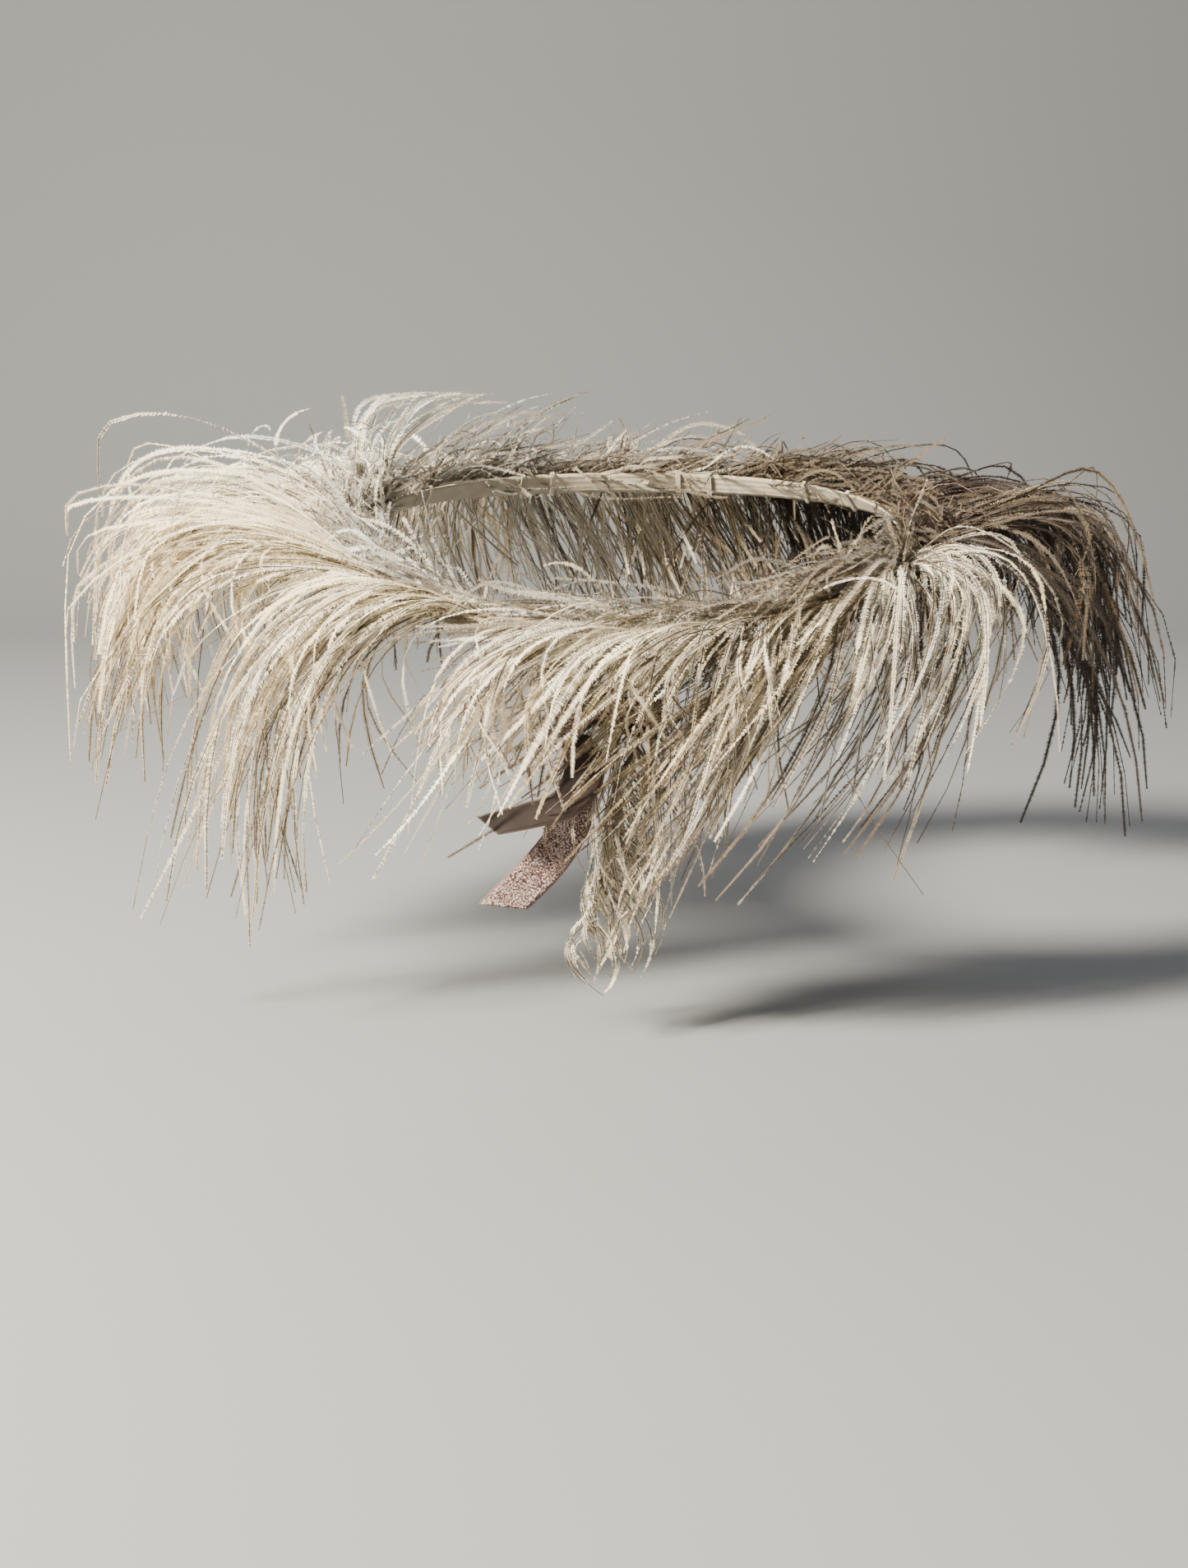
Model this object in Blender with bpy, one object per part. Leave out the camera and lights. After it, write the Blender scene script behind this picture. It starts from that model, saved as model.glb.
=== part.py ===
"""Feather boa: a short ostrich-plume shoulder boa with a velvet ribbon tie.

Metres, +Z up.  The wearer faces -Y, so +X is the wearer's left side.
Origin: centre of the neck loop at shoulder height.
"""
import math

import bmesh
import bpy
from mathutils import Matrix, Vector

NAME = "feather_boa"
MM = 0.001

# ---- neck loop: an ellipse that dips in front and rises at the nape ----
NECK_CENTRE = Vector((0.012, -0.010, -0.003))
NECK_HALF_WIDTH = 0.178
NECK_HALF_DEPTH = 0.120
NECK_RISE = 0.038          # nape above, throat below
SHOULDER_RISE = 0.012

# ---- foundation tape, cotton twill ----
TAPE_WIDTH = 15 * MM
TAPE_THICK = 1.5 * MM
HINGE_RIGHT = 40.0         # degrees round the loop, 0 = +X, 90 = nape
HINGE_LEFT = 148.0
TAPE_RIGHT_END = -101.0
TAPE_LEFT_END = 253.0
FOLD_GAP = 0.9             # degrees of free tape either side of a fold

# ---- quills and thread ----
QUILL_BUTT_R = 1.7 * MM
QUILL_TIP_R = 1.1 * MM
QUILL_LIFT = 3.3 * MM      # quill centre above the tape's middle plane
THREAD_R = 0.5 * MM
BIND_INSET = 1.6           # degrees from each quill end to its binding
BIND_HALF = 8.7 * MM
BIND_BACK = 1.9 * MM
BIND_TOP = 6.0 * MM

# ---- vanes ----
ROOT_GAP = 2.9 * MM        # vane starts this far from the quill's centre
VANE_ROOT = 2.2 * MM
VANE_BODY = 9.0 * MM
VANE_EDGE = 3.2 * MM
VANE_SPREAD = 0.8           # degrees each fan spreads past its quill
ROOT_FIRST = 3.4            # degrees from the butt to the first barb's root
ROOT_LAST = 4.6             # degrees from the tip to the last barb's root
LOCK_WAVE = 2.2 * MM        # how far each lock stands out of the fan
NECK_FIRST = 4.0
NECK_LIFT = 2.2 * MM        # neck-side vane starts this far above the tape
NECK_BODY = 5.5 * MM
NECK_EDGE = 2.4 * MM
NECK_LEAN = 10 * MM

# name, butt angle, tip angle, number of locks, neck-side height (m)
PLUMES = [
    ("back_left", 142.0, 113.0, 4, 0.058),
    ("back_centre", 109.0, 77.0, 5, 0.036),
    ("back_right", 73.0, 45.5, 4, 0.034),
    ("right_shoulder", 34.5, -9.0, 6, 0.030),
    ("right_front", -13.0, -52.0, 6, 0.026),
    ("centre_front", -56.0, -94.0, 5, 0.026),
    ("left_front", 246.0, 203.0, 6, 0.030),
    ("left_shoulder", 199.0, 153.5, 6, 0.044),
]

# the drape: for an angle on the loop, the crown point the barbs rise over
# and the point their tips fall to (tips always trail towards lower angles)
DRAPE = [
    (-110, (-0.075, -0.175, -0.062), (-0.100, -0.165, -0.212)),
    (-98, (-0.025, -0.190, -0.050), (-0.050, -0.184, -0.112)),
    (-80, (0.050, -0.196, -0.062), (0.036, -0.182, -0.168)),
    (-60, (0.140, -0.180, -0.045), (0.120, -0.160, -0.165)),
    (-40, (0.215, -0.135, -0.012), (0.218, -0.126, -0.170)),
    (-20, (0.275, -0.078, 0.028), (0.295, -0.074, -0.165)),
    (0, (0.285, 0.000, 0.042), (0.343, -0.024, -0.070)),
    (15, (0.270, 0.060, 0.045), (0.330, 0.045, -0.072)),
    (35, (0.215, 0.120, 0.040), (0.272, 0.115, -0.088)),
    (60, (0.130, 0.165, 0.038), (0.170, 0.176, -0.092)),
    (90, (0.030, 0.180, 0.040), (0.062, 0.200, -0.095)),
    (112, (-0.062, 0.175, 0.042), (-0.050, 0.200, -0.092)),
    (135, (-0.155, 0.140, 0.048), (-0.186, 0.162, -0.084)),
    (160, (-0.240, 0.075, 0.058), (-0.288, 0.092, -0.076)),
    (175, (-0.278, 0.020, 0.056), (-0.334, 0.030, -0.072)),
    (192, (-0.265, -0.040, 0.036), (-0.324, -0.030, -0.112)),
    (210, (-0.220, -0.100, 0.010), (-0.268, -0.085, -0.172)),
    (230, (-0.152, -0.142, -0.020), (-0.184, -0.127, -0.196)),
    (250, (-0.075, -0.175, -0.062), (-0.100, -0.165, -0.212)),
]

# ---- hanging plume at the centre front ----
DROP_QUILL = [(0.0140, -0.1395, -0.0520), (0.0170, -0.1425, -0.0950),
              (0.0080, -0.1460, -0.1500), (-0.0160, -0.1490, -0.2150)]
DROP_BUTT_R = 1.3 * MM
DROP_TIP_R = 0.8 * MM
DROP_GAP = 2.4 * MM         # vane starts this far from the quill's centre
DROP_REACH = 44 * MM        # widest reach of each vane, side to side
DROP_ROOT = 1.8 * MM
DROP_BODY = 5.0 * MM
DROP_EDGE = 2.4 * MM
DROP_WAVE = 0.9 * MM

# ---- velvet ribbon ----
RIBBON_THICK = 1.2 * MM
KNOT_CENTRE = Vector((-0.0240, -0.1580, -0.0820))
KNOT_HALF = Vector((0.0115, 0.0068, 0.0090))
TAIL_DARK_HINGE = (-0.0200, -0.1585, -0.0905)
TAIL_VELVET_HINGE = (-0.0270, -0.1545, -0.0905)


# ------------------------------------------------------------------ set-up
for old in list(bpy.data.objects):
    bpy.data.objects.remove(old, do_unlink=True)

scene = bpy.context.scene
scene.unit_settings.system = "METRIC"
boa = bpy.data.collections.new(NAME)
scene.collection.children.link(boa)


def material(name, colour, roughness, sheen=0.0):
    mat = bpy.data.materials.new(name)
    mat.use_nodes = True
    shader = mat.node_tree.nodes["Principled BSDF"]
    shader.inputs["Base Color"].default_value = (*colour, 1.0)
    shader.inputs["Roughness"].default_value = roughness
    shader.inputs["Sheen Weight"].default_value = sheen
    mat.diffuse_color = (*colour, 1.0)
    return mat


CREAM = material("ostrich_barbs_cream", (0.62, 0.55, 0.44), 0.9, 0.3)
DOWN = material("ostrich_barbs_neck_side", (0.60, 0.58, 0.52), 0.95, 0.3)
HORN = material("quill_horn", (0.42, 0.30, 0.22), 0.45)
TWILL = material("cotton_twill_tape", (0.50, 0.43, 0.34), 0.9)
THREAD = material("binding_thread", (0.55, 0.49, 0.40), 0.8)
VELVET = material("velvet_ribbon", (0.36, 0.24, 0.22), 0.75, 0.8)
SATIN = material("velvet_ribbon_back", (0.11, 0.05, 0.045), 0.5)


def add_object(name, mesh, mat):
    mesh.materials.append(mat)
    obj = bpy.data.objects.new(name, mesh)
    boa.objects.link(obj)
    return obj


# ------------------------------------------------------------- loop maths
def lerp(a, b, t):
    return a + (b - a) * t


def smooth(t):
    t = min(max(t, 0.0), 1.0)
    return t * t * (3 - 2 * t)


def neck(angle):
    a = math.radians(angle)
    c, s = math.cos(a), math.sin(a)
    return NECK_CENTRE + Vector((NECK_HALF_WIDTH * c, NECK_HALF_DEPTH * s,
                                 NECK_RISE * s + SHOULDER_RISE * c * c))


def along(angle):
    """Unit tangent, pointing the way the plumes flow."""
    return (neck(angle - 0.5) - neck(angle + 0.5)).normalized()


def outward(angle):
    a = math.radians(angle)
    return Vector((math.cos(a) / NECK_HALF_WIDTH,
                   math.sin(a) / NECK_HALF_DEPTH, 0)).normalized()


def across(angle):
    """Unit direction across the tape, outwards and down the body."""
    c2 = math.cos(math.radians(angle)) ** 2
    out = 0.45 + 0.40 * c2
    d = outward(angle) * out - Vector((0, 0, math.sqrt(1 - out * out)))
    t = along(angle)
    return (d - t * d.dot(t)).normalized()


def face_normal(angle):
    """Unit normal of the tape, away from the body."""
    n = across(angle).cross(along(angle)).normalized()
    if n.dot(outward(angle) + Vector((0, 0, 1))) < 0:
        n.negate()
    return n


def quill_point(angle):
    return neck(angle) + face_normal(angle) * QUILL_LIFT


def drape(angle):
    """Crown and tip points for an angle, smooth round the whole loop."""
    a = angle
    while a > 250:
        a -= 360
    while a < -110:
        a += 360
    n = len(DRAPE)
    for k in range(n - 1):
        if DRAPE[k][0] <= a <= DRAPE[k + 1][0]:
            break
    span = DRAPE[k + 1][0] - DRAPE[k][0]
    t = (a - DRAPE[k][0]) / span
    rows = []
    for step in (-1, 0, 1, 2):
        j = k + step
        turn = 0
        if j < 0:
            j, turn = j + n - 1, -360
        if j > n - 1:
            j, turn = j - n + 1, 360
        rows.append((DRAPE[j][0] + turn, DRAPE[j][1], DRAPE[j][2]))
    out = []
    for which in (1, 2):
        p = [Vector(r[which]) for r in rows]
        m1 = (p[2] - p[0]) / (rows[2][0] - rows[0][0]) * span
        m2 = (p[3] - p[1]) / (rows[3][0] - rows[1][0]) * span
        out.append(p[1] * (2 * t ** 3 - 3 * t ** 2 + 1)
                   + m1 * (t ** 3 - 2 * t ** 2 + t)
                   + p[2] * (-2 * t ** 3 + 3 * t ** 2)
                   + m2 * (t ** 3 - t ** 2))
    return out


# ---------------------------------------------------------------- builders
def thick_sheet(name, surface, thickness, nu, nv, mat):
    """Closed solid round surface(u, v): a lower and an upper skin and a rim."""
    e = 1e-3
    bm = bmesh.new()
    skins = [[], []]
    for i in range(nu + 1):
        cols = [[], []]
        for j in range(nv + 1):
            u, v = i / nu, j / nv
            p = surface(u, v)
            du = surface(min(u + e, 1), v) - surface(max(u - e, 0), v)
            dv = surface(u, min(v + e, 1)) - surface(u, max(v - e, 0))
            n = du.cross(dv).normalized()
            h = thickness(u, v) / 2
            cols[0].append(bm.verts.new(p - n * h))
            cols[1].append(bm.verts.new(p + n * h))
        skins[0].append(cols[0])
        skins[1].append(cols[1])
    low, up = skins
    for i in range(nu):
        for j in range(nv):
            bm.faces.new((up[i][j], up[i + 1][j],
                          up[i + 1][j + 1], up[i][j + 1]))
            bm.faces.new((low[i][j], low[i][j + 1],
                          low[i + 1][j + 1], low[i + 1][j]))
    rim = ([(i, 0) for i in range(nu)] + [(nu, j) for j in range(nv)]
           + [(i, nv) for i in range(nu, 0, -1)]
           + [(0, j) for j in range(nv, 0, -1)])
    for (i, j), (k, m) in zip(rim, rim[1:] + rim[:1]):
        bm.faces.new((low[i][j], low[k][m], up[k][m], up[i][j]))
    if bm.calc_volume(signed=True) < 0:
        bmesh.ops.reverse_faces(bm, faces=bm.faces)
    mesh = bpy.data.meshes.new(name)
    bm.to_mesh(mesh)
    bm.free()
    return add_object(name, mesh, mat)


def rod(name, points, radii, mat, cyclic=False, sides=1):
    """Round rod through points; closed ends, or a closed loop."""
    curve = bpy.data.curves.new(name, "CURVE")
    curve.dimensions = "3D"
    curve.bevel_depth = 1.0
    curve.bevel_resolution = sides
    curve.use_fill_caps = not cyclic
    line = curve.splines.new("POLY")
    line.points.add(len(points) - 1)
    for k, (p, r) in enumerate(zip(points, radii)):
        line.points[k].co = (*p, 1)
        line.points[k].radius = r
    line.use_cyclic_u = cyclic
    curve.materials.append(mat)
    obj = bpy.data.objects.new(name, curve)
    boa.objects.link(obj)
    return obj


def bezier(points, t):
    p = [Vector(q) for q in points]
    while len(p) > 1:
        p = [a.lerp(b, t) for a, b in zip(p, p[1:])]
    return p[0]


# -------------------------------------------------------------------- tape
def tape(name, start, end, n):
    def surface(u, v):
        a = lerp(start, end, u)
        return neck(a) + across(a) * (v - 0.5) * TAPE_WIDTH
    thick_sheet(name, surface, lambda u, v: TAPE_THICK, n, 1, TWILL)


tape("tape_back", HINGE_LEFT - FOLD_GAP, HINGE_RIGHT + FOLD_GAP, 18)
tape("tape_right", HINGE_RIGHT - FOLD_GAP, TAPE_RIGHT_END, 26)
tape("tape_left", TAPE_LEFT_END, HINGE_LEFT + FOLD_GAP, 20)


# ------------------------------------------------------------------ plumes
def binding(name, angle, radius):
    """One thread band round tape and quill together."""
    c, w, n = neck(angle), across(angle), face_normal(angle)
    top = radius + 1.1 * MM
    outline = [(-BIND_HALF, -BIND_BACK), (0, -BIND_BACK),
               (BIND_HALF, -BIND_BACK), (BIND_HALF, 1.5 * MM),
               (top, BIND_TOP), (0, BIND_TOP + 0.2 * MM), (-top, BIND_TOP),
               (-BIND_HALF, 1.5 * MM)]
    points = [c + w * a + n * b for a, b in outline]
    rod(name, points, [THREAD_R] * len(points), THREAD, cyclic=True)


def outer_vane(name, butt, tip, locks):
    first, last = butt - ROOT_FIRST, tip + ROOT_LAST
    wide_first, wide_last = butt + VANE_SPREAD, tip - VANE_SPREAD

    def surface(u, v):
        length = 0.88 + 0.12 * abs(math.cos(math.pi * locks * u)) \
            + 0.03 * math.sin(7.0 * u + butt)
        v = v * length
        a = lerp(lerp(first, last, u), lerp(wide_first, wide_last, u),
                 smooth(v * 3.2))
        crown, end = drape(a)
        root = quill_point(a) + across(a) * ROOT_GAP \
            + face_normal(a) * 0.5 * MM
        p = root * (1 - v) ** 2 + crown * 2 * v * (1 - v) + end * v * v
        wave = math.cos(2 * math.pi * locks * u) * LOCK_WAVE
        return p + outward(a) * wave * smooth(v * 2)

    def thickness(u, v):
        body = lerp(VANE_ROOT, VANE_BODY, smooth(v / 0.3))
        body = lerp(body, VANE_EDGE, smooth((v - 0.6) / 0.4))
        side = smooth(min(u, 1 - u) / 0.12)
        return lerp(min(body, VANE_EDGE), body, side)

    thick_sheet(name, surface, thickness, 4 * locks, 6, CREAM)


def neck_vane(name, butt, tip, height, locks):
    first, last = butt - NECK_FIRST, tip + ROOT_LAST

    def surface(u, v):
        length = 0.74 + 0.26 * abs(math.sin(math.pi * locks * u + 0.6))
        length *= 0.45 + 0.55 * math.sin(math.pi * lerp(0.08, 0.90, u)) ** 0.7
        v = v * length
        a = lerp(first, last, u) - (u - 0.5) * -1.5 * v
        shift = a - 3.0 * v * (1 - u)
        side = outward(shift)
        root = quill_point(shift) - across(shift) * ROOT_GAP \
            + face_normal(shift) * NECK_LIFT
        lean = math.sin(math.pi * v * 0.5) * NECK_LEAN
        return root + Vector((0, 0, height * v)) - side * lean

    def thickness(u, v):
        body = lerp(VANE_ROOT, NECK_BODY, smooth(v / 0.4))
        return lerp(body, NECK_EDGE, smooth((v - 0.6) / 0.4))

    thick_sheet(name, surface, thickness, 3 * locks, 3, DOWN)


for name, butt, tip, locks, height in PLUMES:
    steps = 12
    angles = [lerp(butt, tip, k / steps) for k in range(steps + 1)]
    rod("quill_" + name, [quill_point(a) for a in angles],
        [lerp(QUILL_BUTT_R, QUILL_TIP_R, k / steps)
         for k in range(steps + 1)], HORN)
    binding("binding_" + name + "_butt", butt - BIND_INSET, QUILL_BUTT_R)
    binding("binding_" + name + "_tip", tip + BIND_INSET, QUILL_TIP_R)
    outer_vane("vane_" + name + "_outer", butt, tip, locks)
    neck_vane("vane_" + name + "_neck", butt, tip, height, locks)


# ---------------------------------------------------- hanging centre plume
drop_steps = 12
rod("quill_centre_drop",
    [bezier(DROP_QUILL, k / drop_steps) for k in range(drop_steps + 1)],
    [lerp(DROP_BUTT_R, DROP_TIP_R, k / drop_steps)
     for k in range(drop_steps + 1)], HORN)

drop_ring = bezier(DROP_QUILL, 0.03)
ring_normal = (bezier(DROP_QUILL, 0.08) - bezier(DROP_QUILL, 0.0)).normalized()
ring_x = ring_normal.cross(Vector((0, 1, 0))).normalized()
ring_y = ring_normal.cross(ring_x).normalized()
ring_r = DROP_BUTT_R + THREAD_R + 0.5 * MM
rod("binding_centre_drop",
    [drop_ring + (ring_x * math.cos(k * math.pi / 6)
                  + ring_y * math.sin(k * math.pi / 6)) * ring_r
     for k in range(12)], [THREAD_R] * 12, THREAD, cyclic=True)


def drop_vane(name, side, reach, locks):
    def surface(u, v):
        t = lerp(0.22, 0.97, u)
        q = bezier(DROP_QUILL, t)
        length = 0.86 + 0.14 * abs(math.cos(math.pi * locks * u))
        v = v * length
        width = reach * math.sin(math.pi * (0.36 + 0.40 * u))
        fall = lerp(0.066, 0.046, u)
        root = q + Vector((side * DROP_GAP, 0, 0))
        crown = root + Vector((side * width * 0.62, 0, -fall * 0.38))
        end = root + Vector((side * width, -0.002, -fall))
        p = root * (1 - v) ** 2 + crown * 2 * v * (1 - v) + end * v * v
        return p + Vector((0, math.cos(2 * math.pi * locks * u)
                           * DROP_WAVE * smooth(v * 2), 0))

    def thickness(u, v):
        body = lerp(DROP_ROOT, DROP_BODY, smooth(v / 0.3))
        return lerp(body, DROP_EDGE, smooth((v - 0.6) / 0.4))

    thick_sheet(name, surface, thickness, 4 * locks, 4, CREAM)


drop_vane("vane_centre_drop_left", -1, DROP_REACH, 4)
drop_vane("vane_centre_drop_right", 1, DROP_REACH, 4)


# ------------------------------------------------------------------ ribbon
def ribbon(name, path, widths, directions, n, mat):
    """Flat ribbon along a Bezier path; widths and directions blend along."""
    def surface(u, v):
        side = bezier(directions, u).normalized()
        width = bezier([(w, 0, 0) for w in widths], u).x
        return bezier(path, u) + side * (v - 0.5) * width
    thick_sheet(name, surface, lambda u, v: RIBBON_THICK, n, 2, mat)


ribbon("ribbon_strap_right",
       [(-0.0115, -0.1228, -0.0335), (-0.0115, -0.1268, -0.0560),
        (-0.0150, -0.1340, -0.0610), (-0.0205, -0.1505, -0.0705)],
       [0.016, 0.016, 0.014, 0.009],
       [(1, 0.05, 0), (1, 0.05, 0), (1, 0.0, 0), (1, 0, 0.1)], 10, SATIN)
ribbon("ribbon_strap_left",
       [(-0.0490, -0.1160, -0.0315), (-0.0490, -0.1200, -0.0540),
        (-0.0440, -0.1340, -0.0590), (-0.0345, -0.1490, -0.0690)],
       [0.014, 0.014, 0.012, 0.009],
       [(1, -0.25, 0), (1, -0.25, 0), (1, -0.2, -0.2), (1, -0.1, -0.6)],
       10, SATIN)


def knot(name):
    bm = bmesh.new()
    bmesh.ops.create_uvsphere(bm, u_segments=16, v_segments=10, radius=1.0)
    for vert in bm.verts:
        x, y, z = vert.co
        waist = 1.0 - 0.10 * math.cos(3 * math.pi * z) * (1 - z * z)
        vert.co = KNOT_CENTRE + Vector((x * KNOT_HALF.x * waist,
                                        y * KNOT_HALF.y * waist,
                                        z * KNOT_HALF.z))
    mesh = bpy.data.meshes.new(name)
    bm.to_mesh(mesh)
    bm.free()
    mesh.shade_smooth()
    add_object(name, mesh, VELVET)


knot("ribbon_knot")

ribbon("ribbon_tail_dark",
       [(-0.0200, -0.1585, -0.0922), (-0.0080, -0.1605, -0.1050),
        (-0.0020, -0.1625, -0.1290), (-0.0360, -0.1640, -0.1440),
        (-0.0740, -0.1645, -0.1455)],
       [0.008, 0.022, 0.025, 0.020, 0.016],
       [(1, 0, 0.1), (1, 0, 0.1), (0.90, 0, -0.40),
        (0.35, 0, -0.95), (-0.20, 0, -1)], 16, SATIN)
ribbon("ribbon_tail_velvet",
       [(-0.0270, -0.1545, -0.0925), (-0.0200, -0.1520, -0.1180),
        (-0.0060, -0.1525, -0.1450), (-0.0480, -0.1545, -0.1780),
        (-0.0660, -0.1560, -0.1970)],
       [0.008, 0.020, 0.025, 0.025, 0.023],
       [(1, 0, 0), (1, 0, 0.1), (0.85, 0, -0.25),
        (0.75, 0, -0.55), (0.72, 0, -0.62)], 14, VELVET)
ribbon("ribbon_loop",
       [(-0.0118, -0.1600, -0.0800), (0.0120, -0.1700, -0.0690),
        (0.0560, -0.1640, -0.0860), (0.0200, -0.1530, -0.0900),
        (-0.0118, -0.1550, -0.0840)],
       [0.007, 0.021, 0.025, 0.021, 0.007],
       [(0, 0.05, 1), (0.1, 0.1, 1), (0.3, 0.1, 1), (0.1, 0.1, 1),
        (0, 0.05, 1)], 16, VELVET)


# ------------------------------------------------- empties on the joint axes
def hang_on_axis(name, place, pieces, parent=None):
    """Parent a moving piece's objects to an empty on its joint's axis."""
    empty = bpy.data.objects.new(name, None)
    empty.empty_display_size = 10 * MM
    empty.location = place
    boa.objects.link(empty)
    for child in [boa.objects[piece] for piece in pieces]:
        child.parent = empty
        child.matrix_parent_inverse = Matrix.Translation(-Vector(place))
    if parent:
        empty.parent = parent
        empty.matrix_parent_inverse = Matrix.Translation(-parent.location)
    return empty


right_wing = hang_on_axis("axis_right_wing", neck(HINGE_RIGHT),
                          ["tape_right", "ribbon_strap_right", "ribbon_knot",
                           "ribbon_loop", "binding_centre_drop"])
left_wing = hang_on_axis("axis_left_wing", neck(HINGE_LEFT),
                         ["tape_left", "ribbon_strap_left"])
wing_of = {"right_shoulder": right_wing, "right_front": right_wing,
           "centre_front": right_wing, "left_front": left_wing,
           "left_shoulder": left_wing}
for name, butt, tip, locks, height in PLUMES:
    wing = wing_of.get(name)
    hang_on_axis("axis_plume_" + name, quill_point(butt - BIND_INSET),
                 ["quill_" + name, "vane_" + name + "_outer",
                  "vane_" + name + "_neck"], wing)
    if wing:
        for end in ("_butt", "_tip"):
            thread = boa.objects["binding_" + name + end]
            thread.parent = wing
            thread.matrix_parent_inverse = Matrix.Translation(-wing.location)
hang_on_axis("axis_plume_centre_drop", drop_ring,
             ["quill_centre_drop", "vane_centre_drop_left",
              "vane_centre_drop_right"], right_wing)
hang_on_axis("axis_tail_dark", TAIL_DARK_HINGE, ["ribbon_tail_dark"],
             right_wing)
hang_on_axis("axis_tail_velvet", TAIL_VELVET_HINGE, ["ribbon_tail_velvet"],
             right_wing)
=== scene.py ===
# %% [markdown]
# # Feather boa: ostrich plumes on a neck tape, tied with velvet ribbon
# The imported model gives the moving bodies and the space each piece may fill.  This file puts
# the real surfaces there: thousands of limp barbs, each a thin brown stem with pale fringe down
# both sides, the quills they grow from, the tape and thread that hold the quills, and the tie.

# %% Load the frame
import math

import bmesh
import bpy
import numpy as np
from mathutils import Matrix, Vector


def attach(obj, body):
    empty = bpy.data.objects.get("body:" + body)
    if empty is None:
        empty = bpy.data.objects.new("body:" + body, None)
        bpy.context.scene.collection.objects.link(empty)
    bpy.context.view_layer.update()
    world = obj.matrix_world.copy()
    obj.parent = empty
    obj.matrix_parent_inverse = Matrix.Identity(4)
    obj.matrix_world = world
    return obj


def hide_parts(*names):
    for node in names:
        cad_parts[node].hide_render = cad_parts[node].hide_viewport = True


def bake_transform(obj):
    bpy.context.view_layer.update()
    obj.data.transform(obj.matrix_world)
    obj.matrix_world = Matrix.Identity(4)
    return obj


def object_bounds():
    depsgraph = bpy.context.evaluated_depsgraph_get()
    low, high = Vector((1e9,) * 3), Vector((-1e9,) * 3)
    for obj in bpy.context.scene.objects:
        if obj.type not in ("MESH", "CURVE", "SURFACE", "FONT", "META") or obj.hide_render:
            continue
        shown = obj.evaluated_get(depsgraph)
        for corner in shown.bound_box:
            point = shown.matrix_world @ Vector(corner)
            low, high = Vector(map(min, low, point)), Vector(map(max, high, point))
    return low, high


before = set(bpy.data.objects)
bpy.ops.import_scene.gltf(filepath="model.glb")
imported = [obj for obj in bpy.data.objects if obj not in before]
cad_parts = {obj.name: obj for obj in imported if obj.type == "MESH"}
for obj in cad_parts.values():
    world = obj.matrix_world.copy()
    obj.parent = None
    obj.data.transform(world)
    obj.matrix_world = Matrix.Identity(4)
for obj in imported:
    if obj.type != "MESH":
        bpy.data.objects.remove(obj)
cad_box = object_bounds()
MM = 0.001

# %% [markdown]
# ## Camera
# The boa is worn at shoulder height and looked at from a little above, from about 1.3 m away,
# with the view tipped down.  The lens is given by its vertical field of view.

# %% Camera
VIEW_ANGLE = math.radians(44.0)
camera_data = bpy.data.cameras.new("camera")
camera_data.sensor_fit = "VERTICAL"
camera_data.angle_y = VIEW_ANGLE
camera = bpy.data.objects.new("camera", camera_data)
camera.location = (-0.012, -1.263, 0.123)
camera.rotation_euler = (math.radians(90 - 12.5), 0, 0)
bpy.context.collection.objects.link(camera)
bpy.context.scene.camera = camera
print("camera:", tuple(round(c, 3) for c in camera.location))


# %% [markdown]
# ## Colours and one helper for material nodes
# Colours are picked as sRGB hex, and Blender shades in linear light, so one function converts.
# `node` adds a shader node, sets its values and makes its links in one line.

# %% Colour and node helpers
def linear(hex_colour):
    """An sRGB hex colour as linear red, green, blue and alpha."""
    channels = [int(hex_colour[k:k + 2], 16) / 255 for k in (1, 3, 5)]
    return [c / 12.92 if c <= 0.04045 else ((c + 0.055) / 1.055) ** 2.4 for c in channels] + [1.0]


def node(tree, kind, links=None, **settings):
    """Add a node; settings name its properties or inputs, links name inputs fed by sockets."""
    n = tree.nodes.new(kind)
    for key, value in settings.items():
        key = key.replace("__", " ")
        if hasattr(n, key):
            setattr(n, key, value)
        else:
            n.inputs[key].default_value = value
    for key, socket in (links or {}).items():
        target = n.inputs[key] if isinstance(key, int) else n.inputs[key.replace("__", " ")]
        tree.links.new(socket, target)
    return n


def new_material(name):
    """An empty node material, its tree and its output node."""
    mat = bpy.data.materials.new(name)
    mat.use_nodes = True
    tree = mat.node_tree
    tree.nodes.clear()
    out = tree.nodes.new("ShaderNodeOutputMaterial")
    return mat, tree, out


def ramp(tree, factor, stops):
    """Colour ramp from (position, hex) stops."""
    r = node(tree, "ShaderNodeValToRGB", {"Fac": factor})
    while len(r.color_ramp.elements) < len(stops):
        r.color_ramp.elements.new(0.5)
    for element, (place, colour) in zip(r.color_ramp.elements, stops):
        element.position = place
        element.color = linear(colour)
    return r.outputs["Color"]


print("helpers: linear, node, new_material, ramp")


# %% [markdown]
# ## Finish: ostrich barbs
# A barb is a flat keratin stem, brown like dark horn, and each side of it carries a fringe of
# barbules, unpigmented and so fine that they scatter light like wool: matt, a little see-through,
# warm cream where old, bluish white near the neck.  Each barb carries its own `tint` and its own
# value of brown and painted shade, so that neighbours differ, and `along` runs from root to tip.
# That value is partly the real grey brown of some barbs and partly painted shade: darker on lower
# layers and on the shoulder away from the key lamp.

# %% Barb materials
def barb_attribute(tree, name):
    """A value that every point of a barb carries, for the shader."""
    return node(tree, "ShaderNodeAttribute", attribute_name=name).outputs["Fac"]


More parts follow.
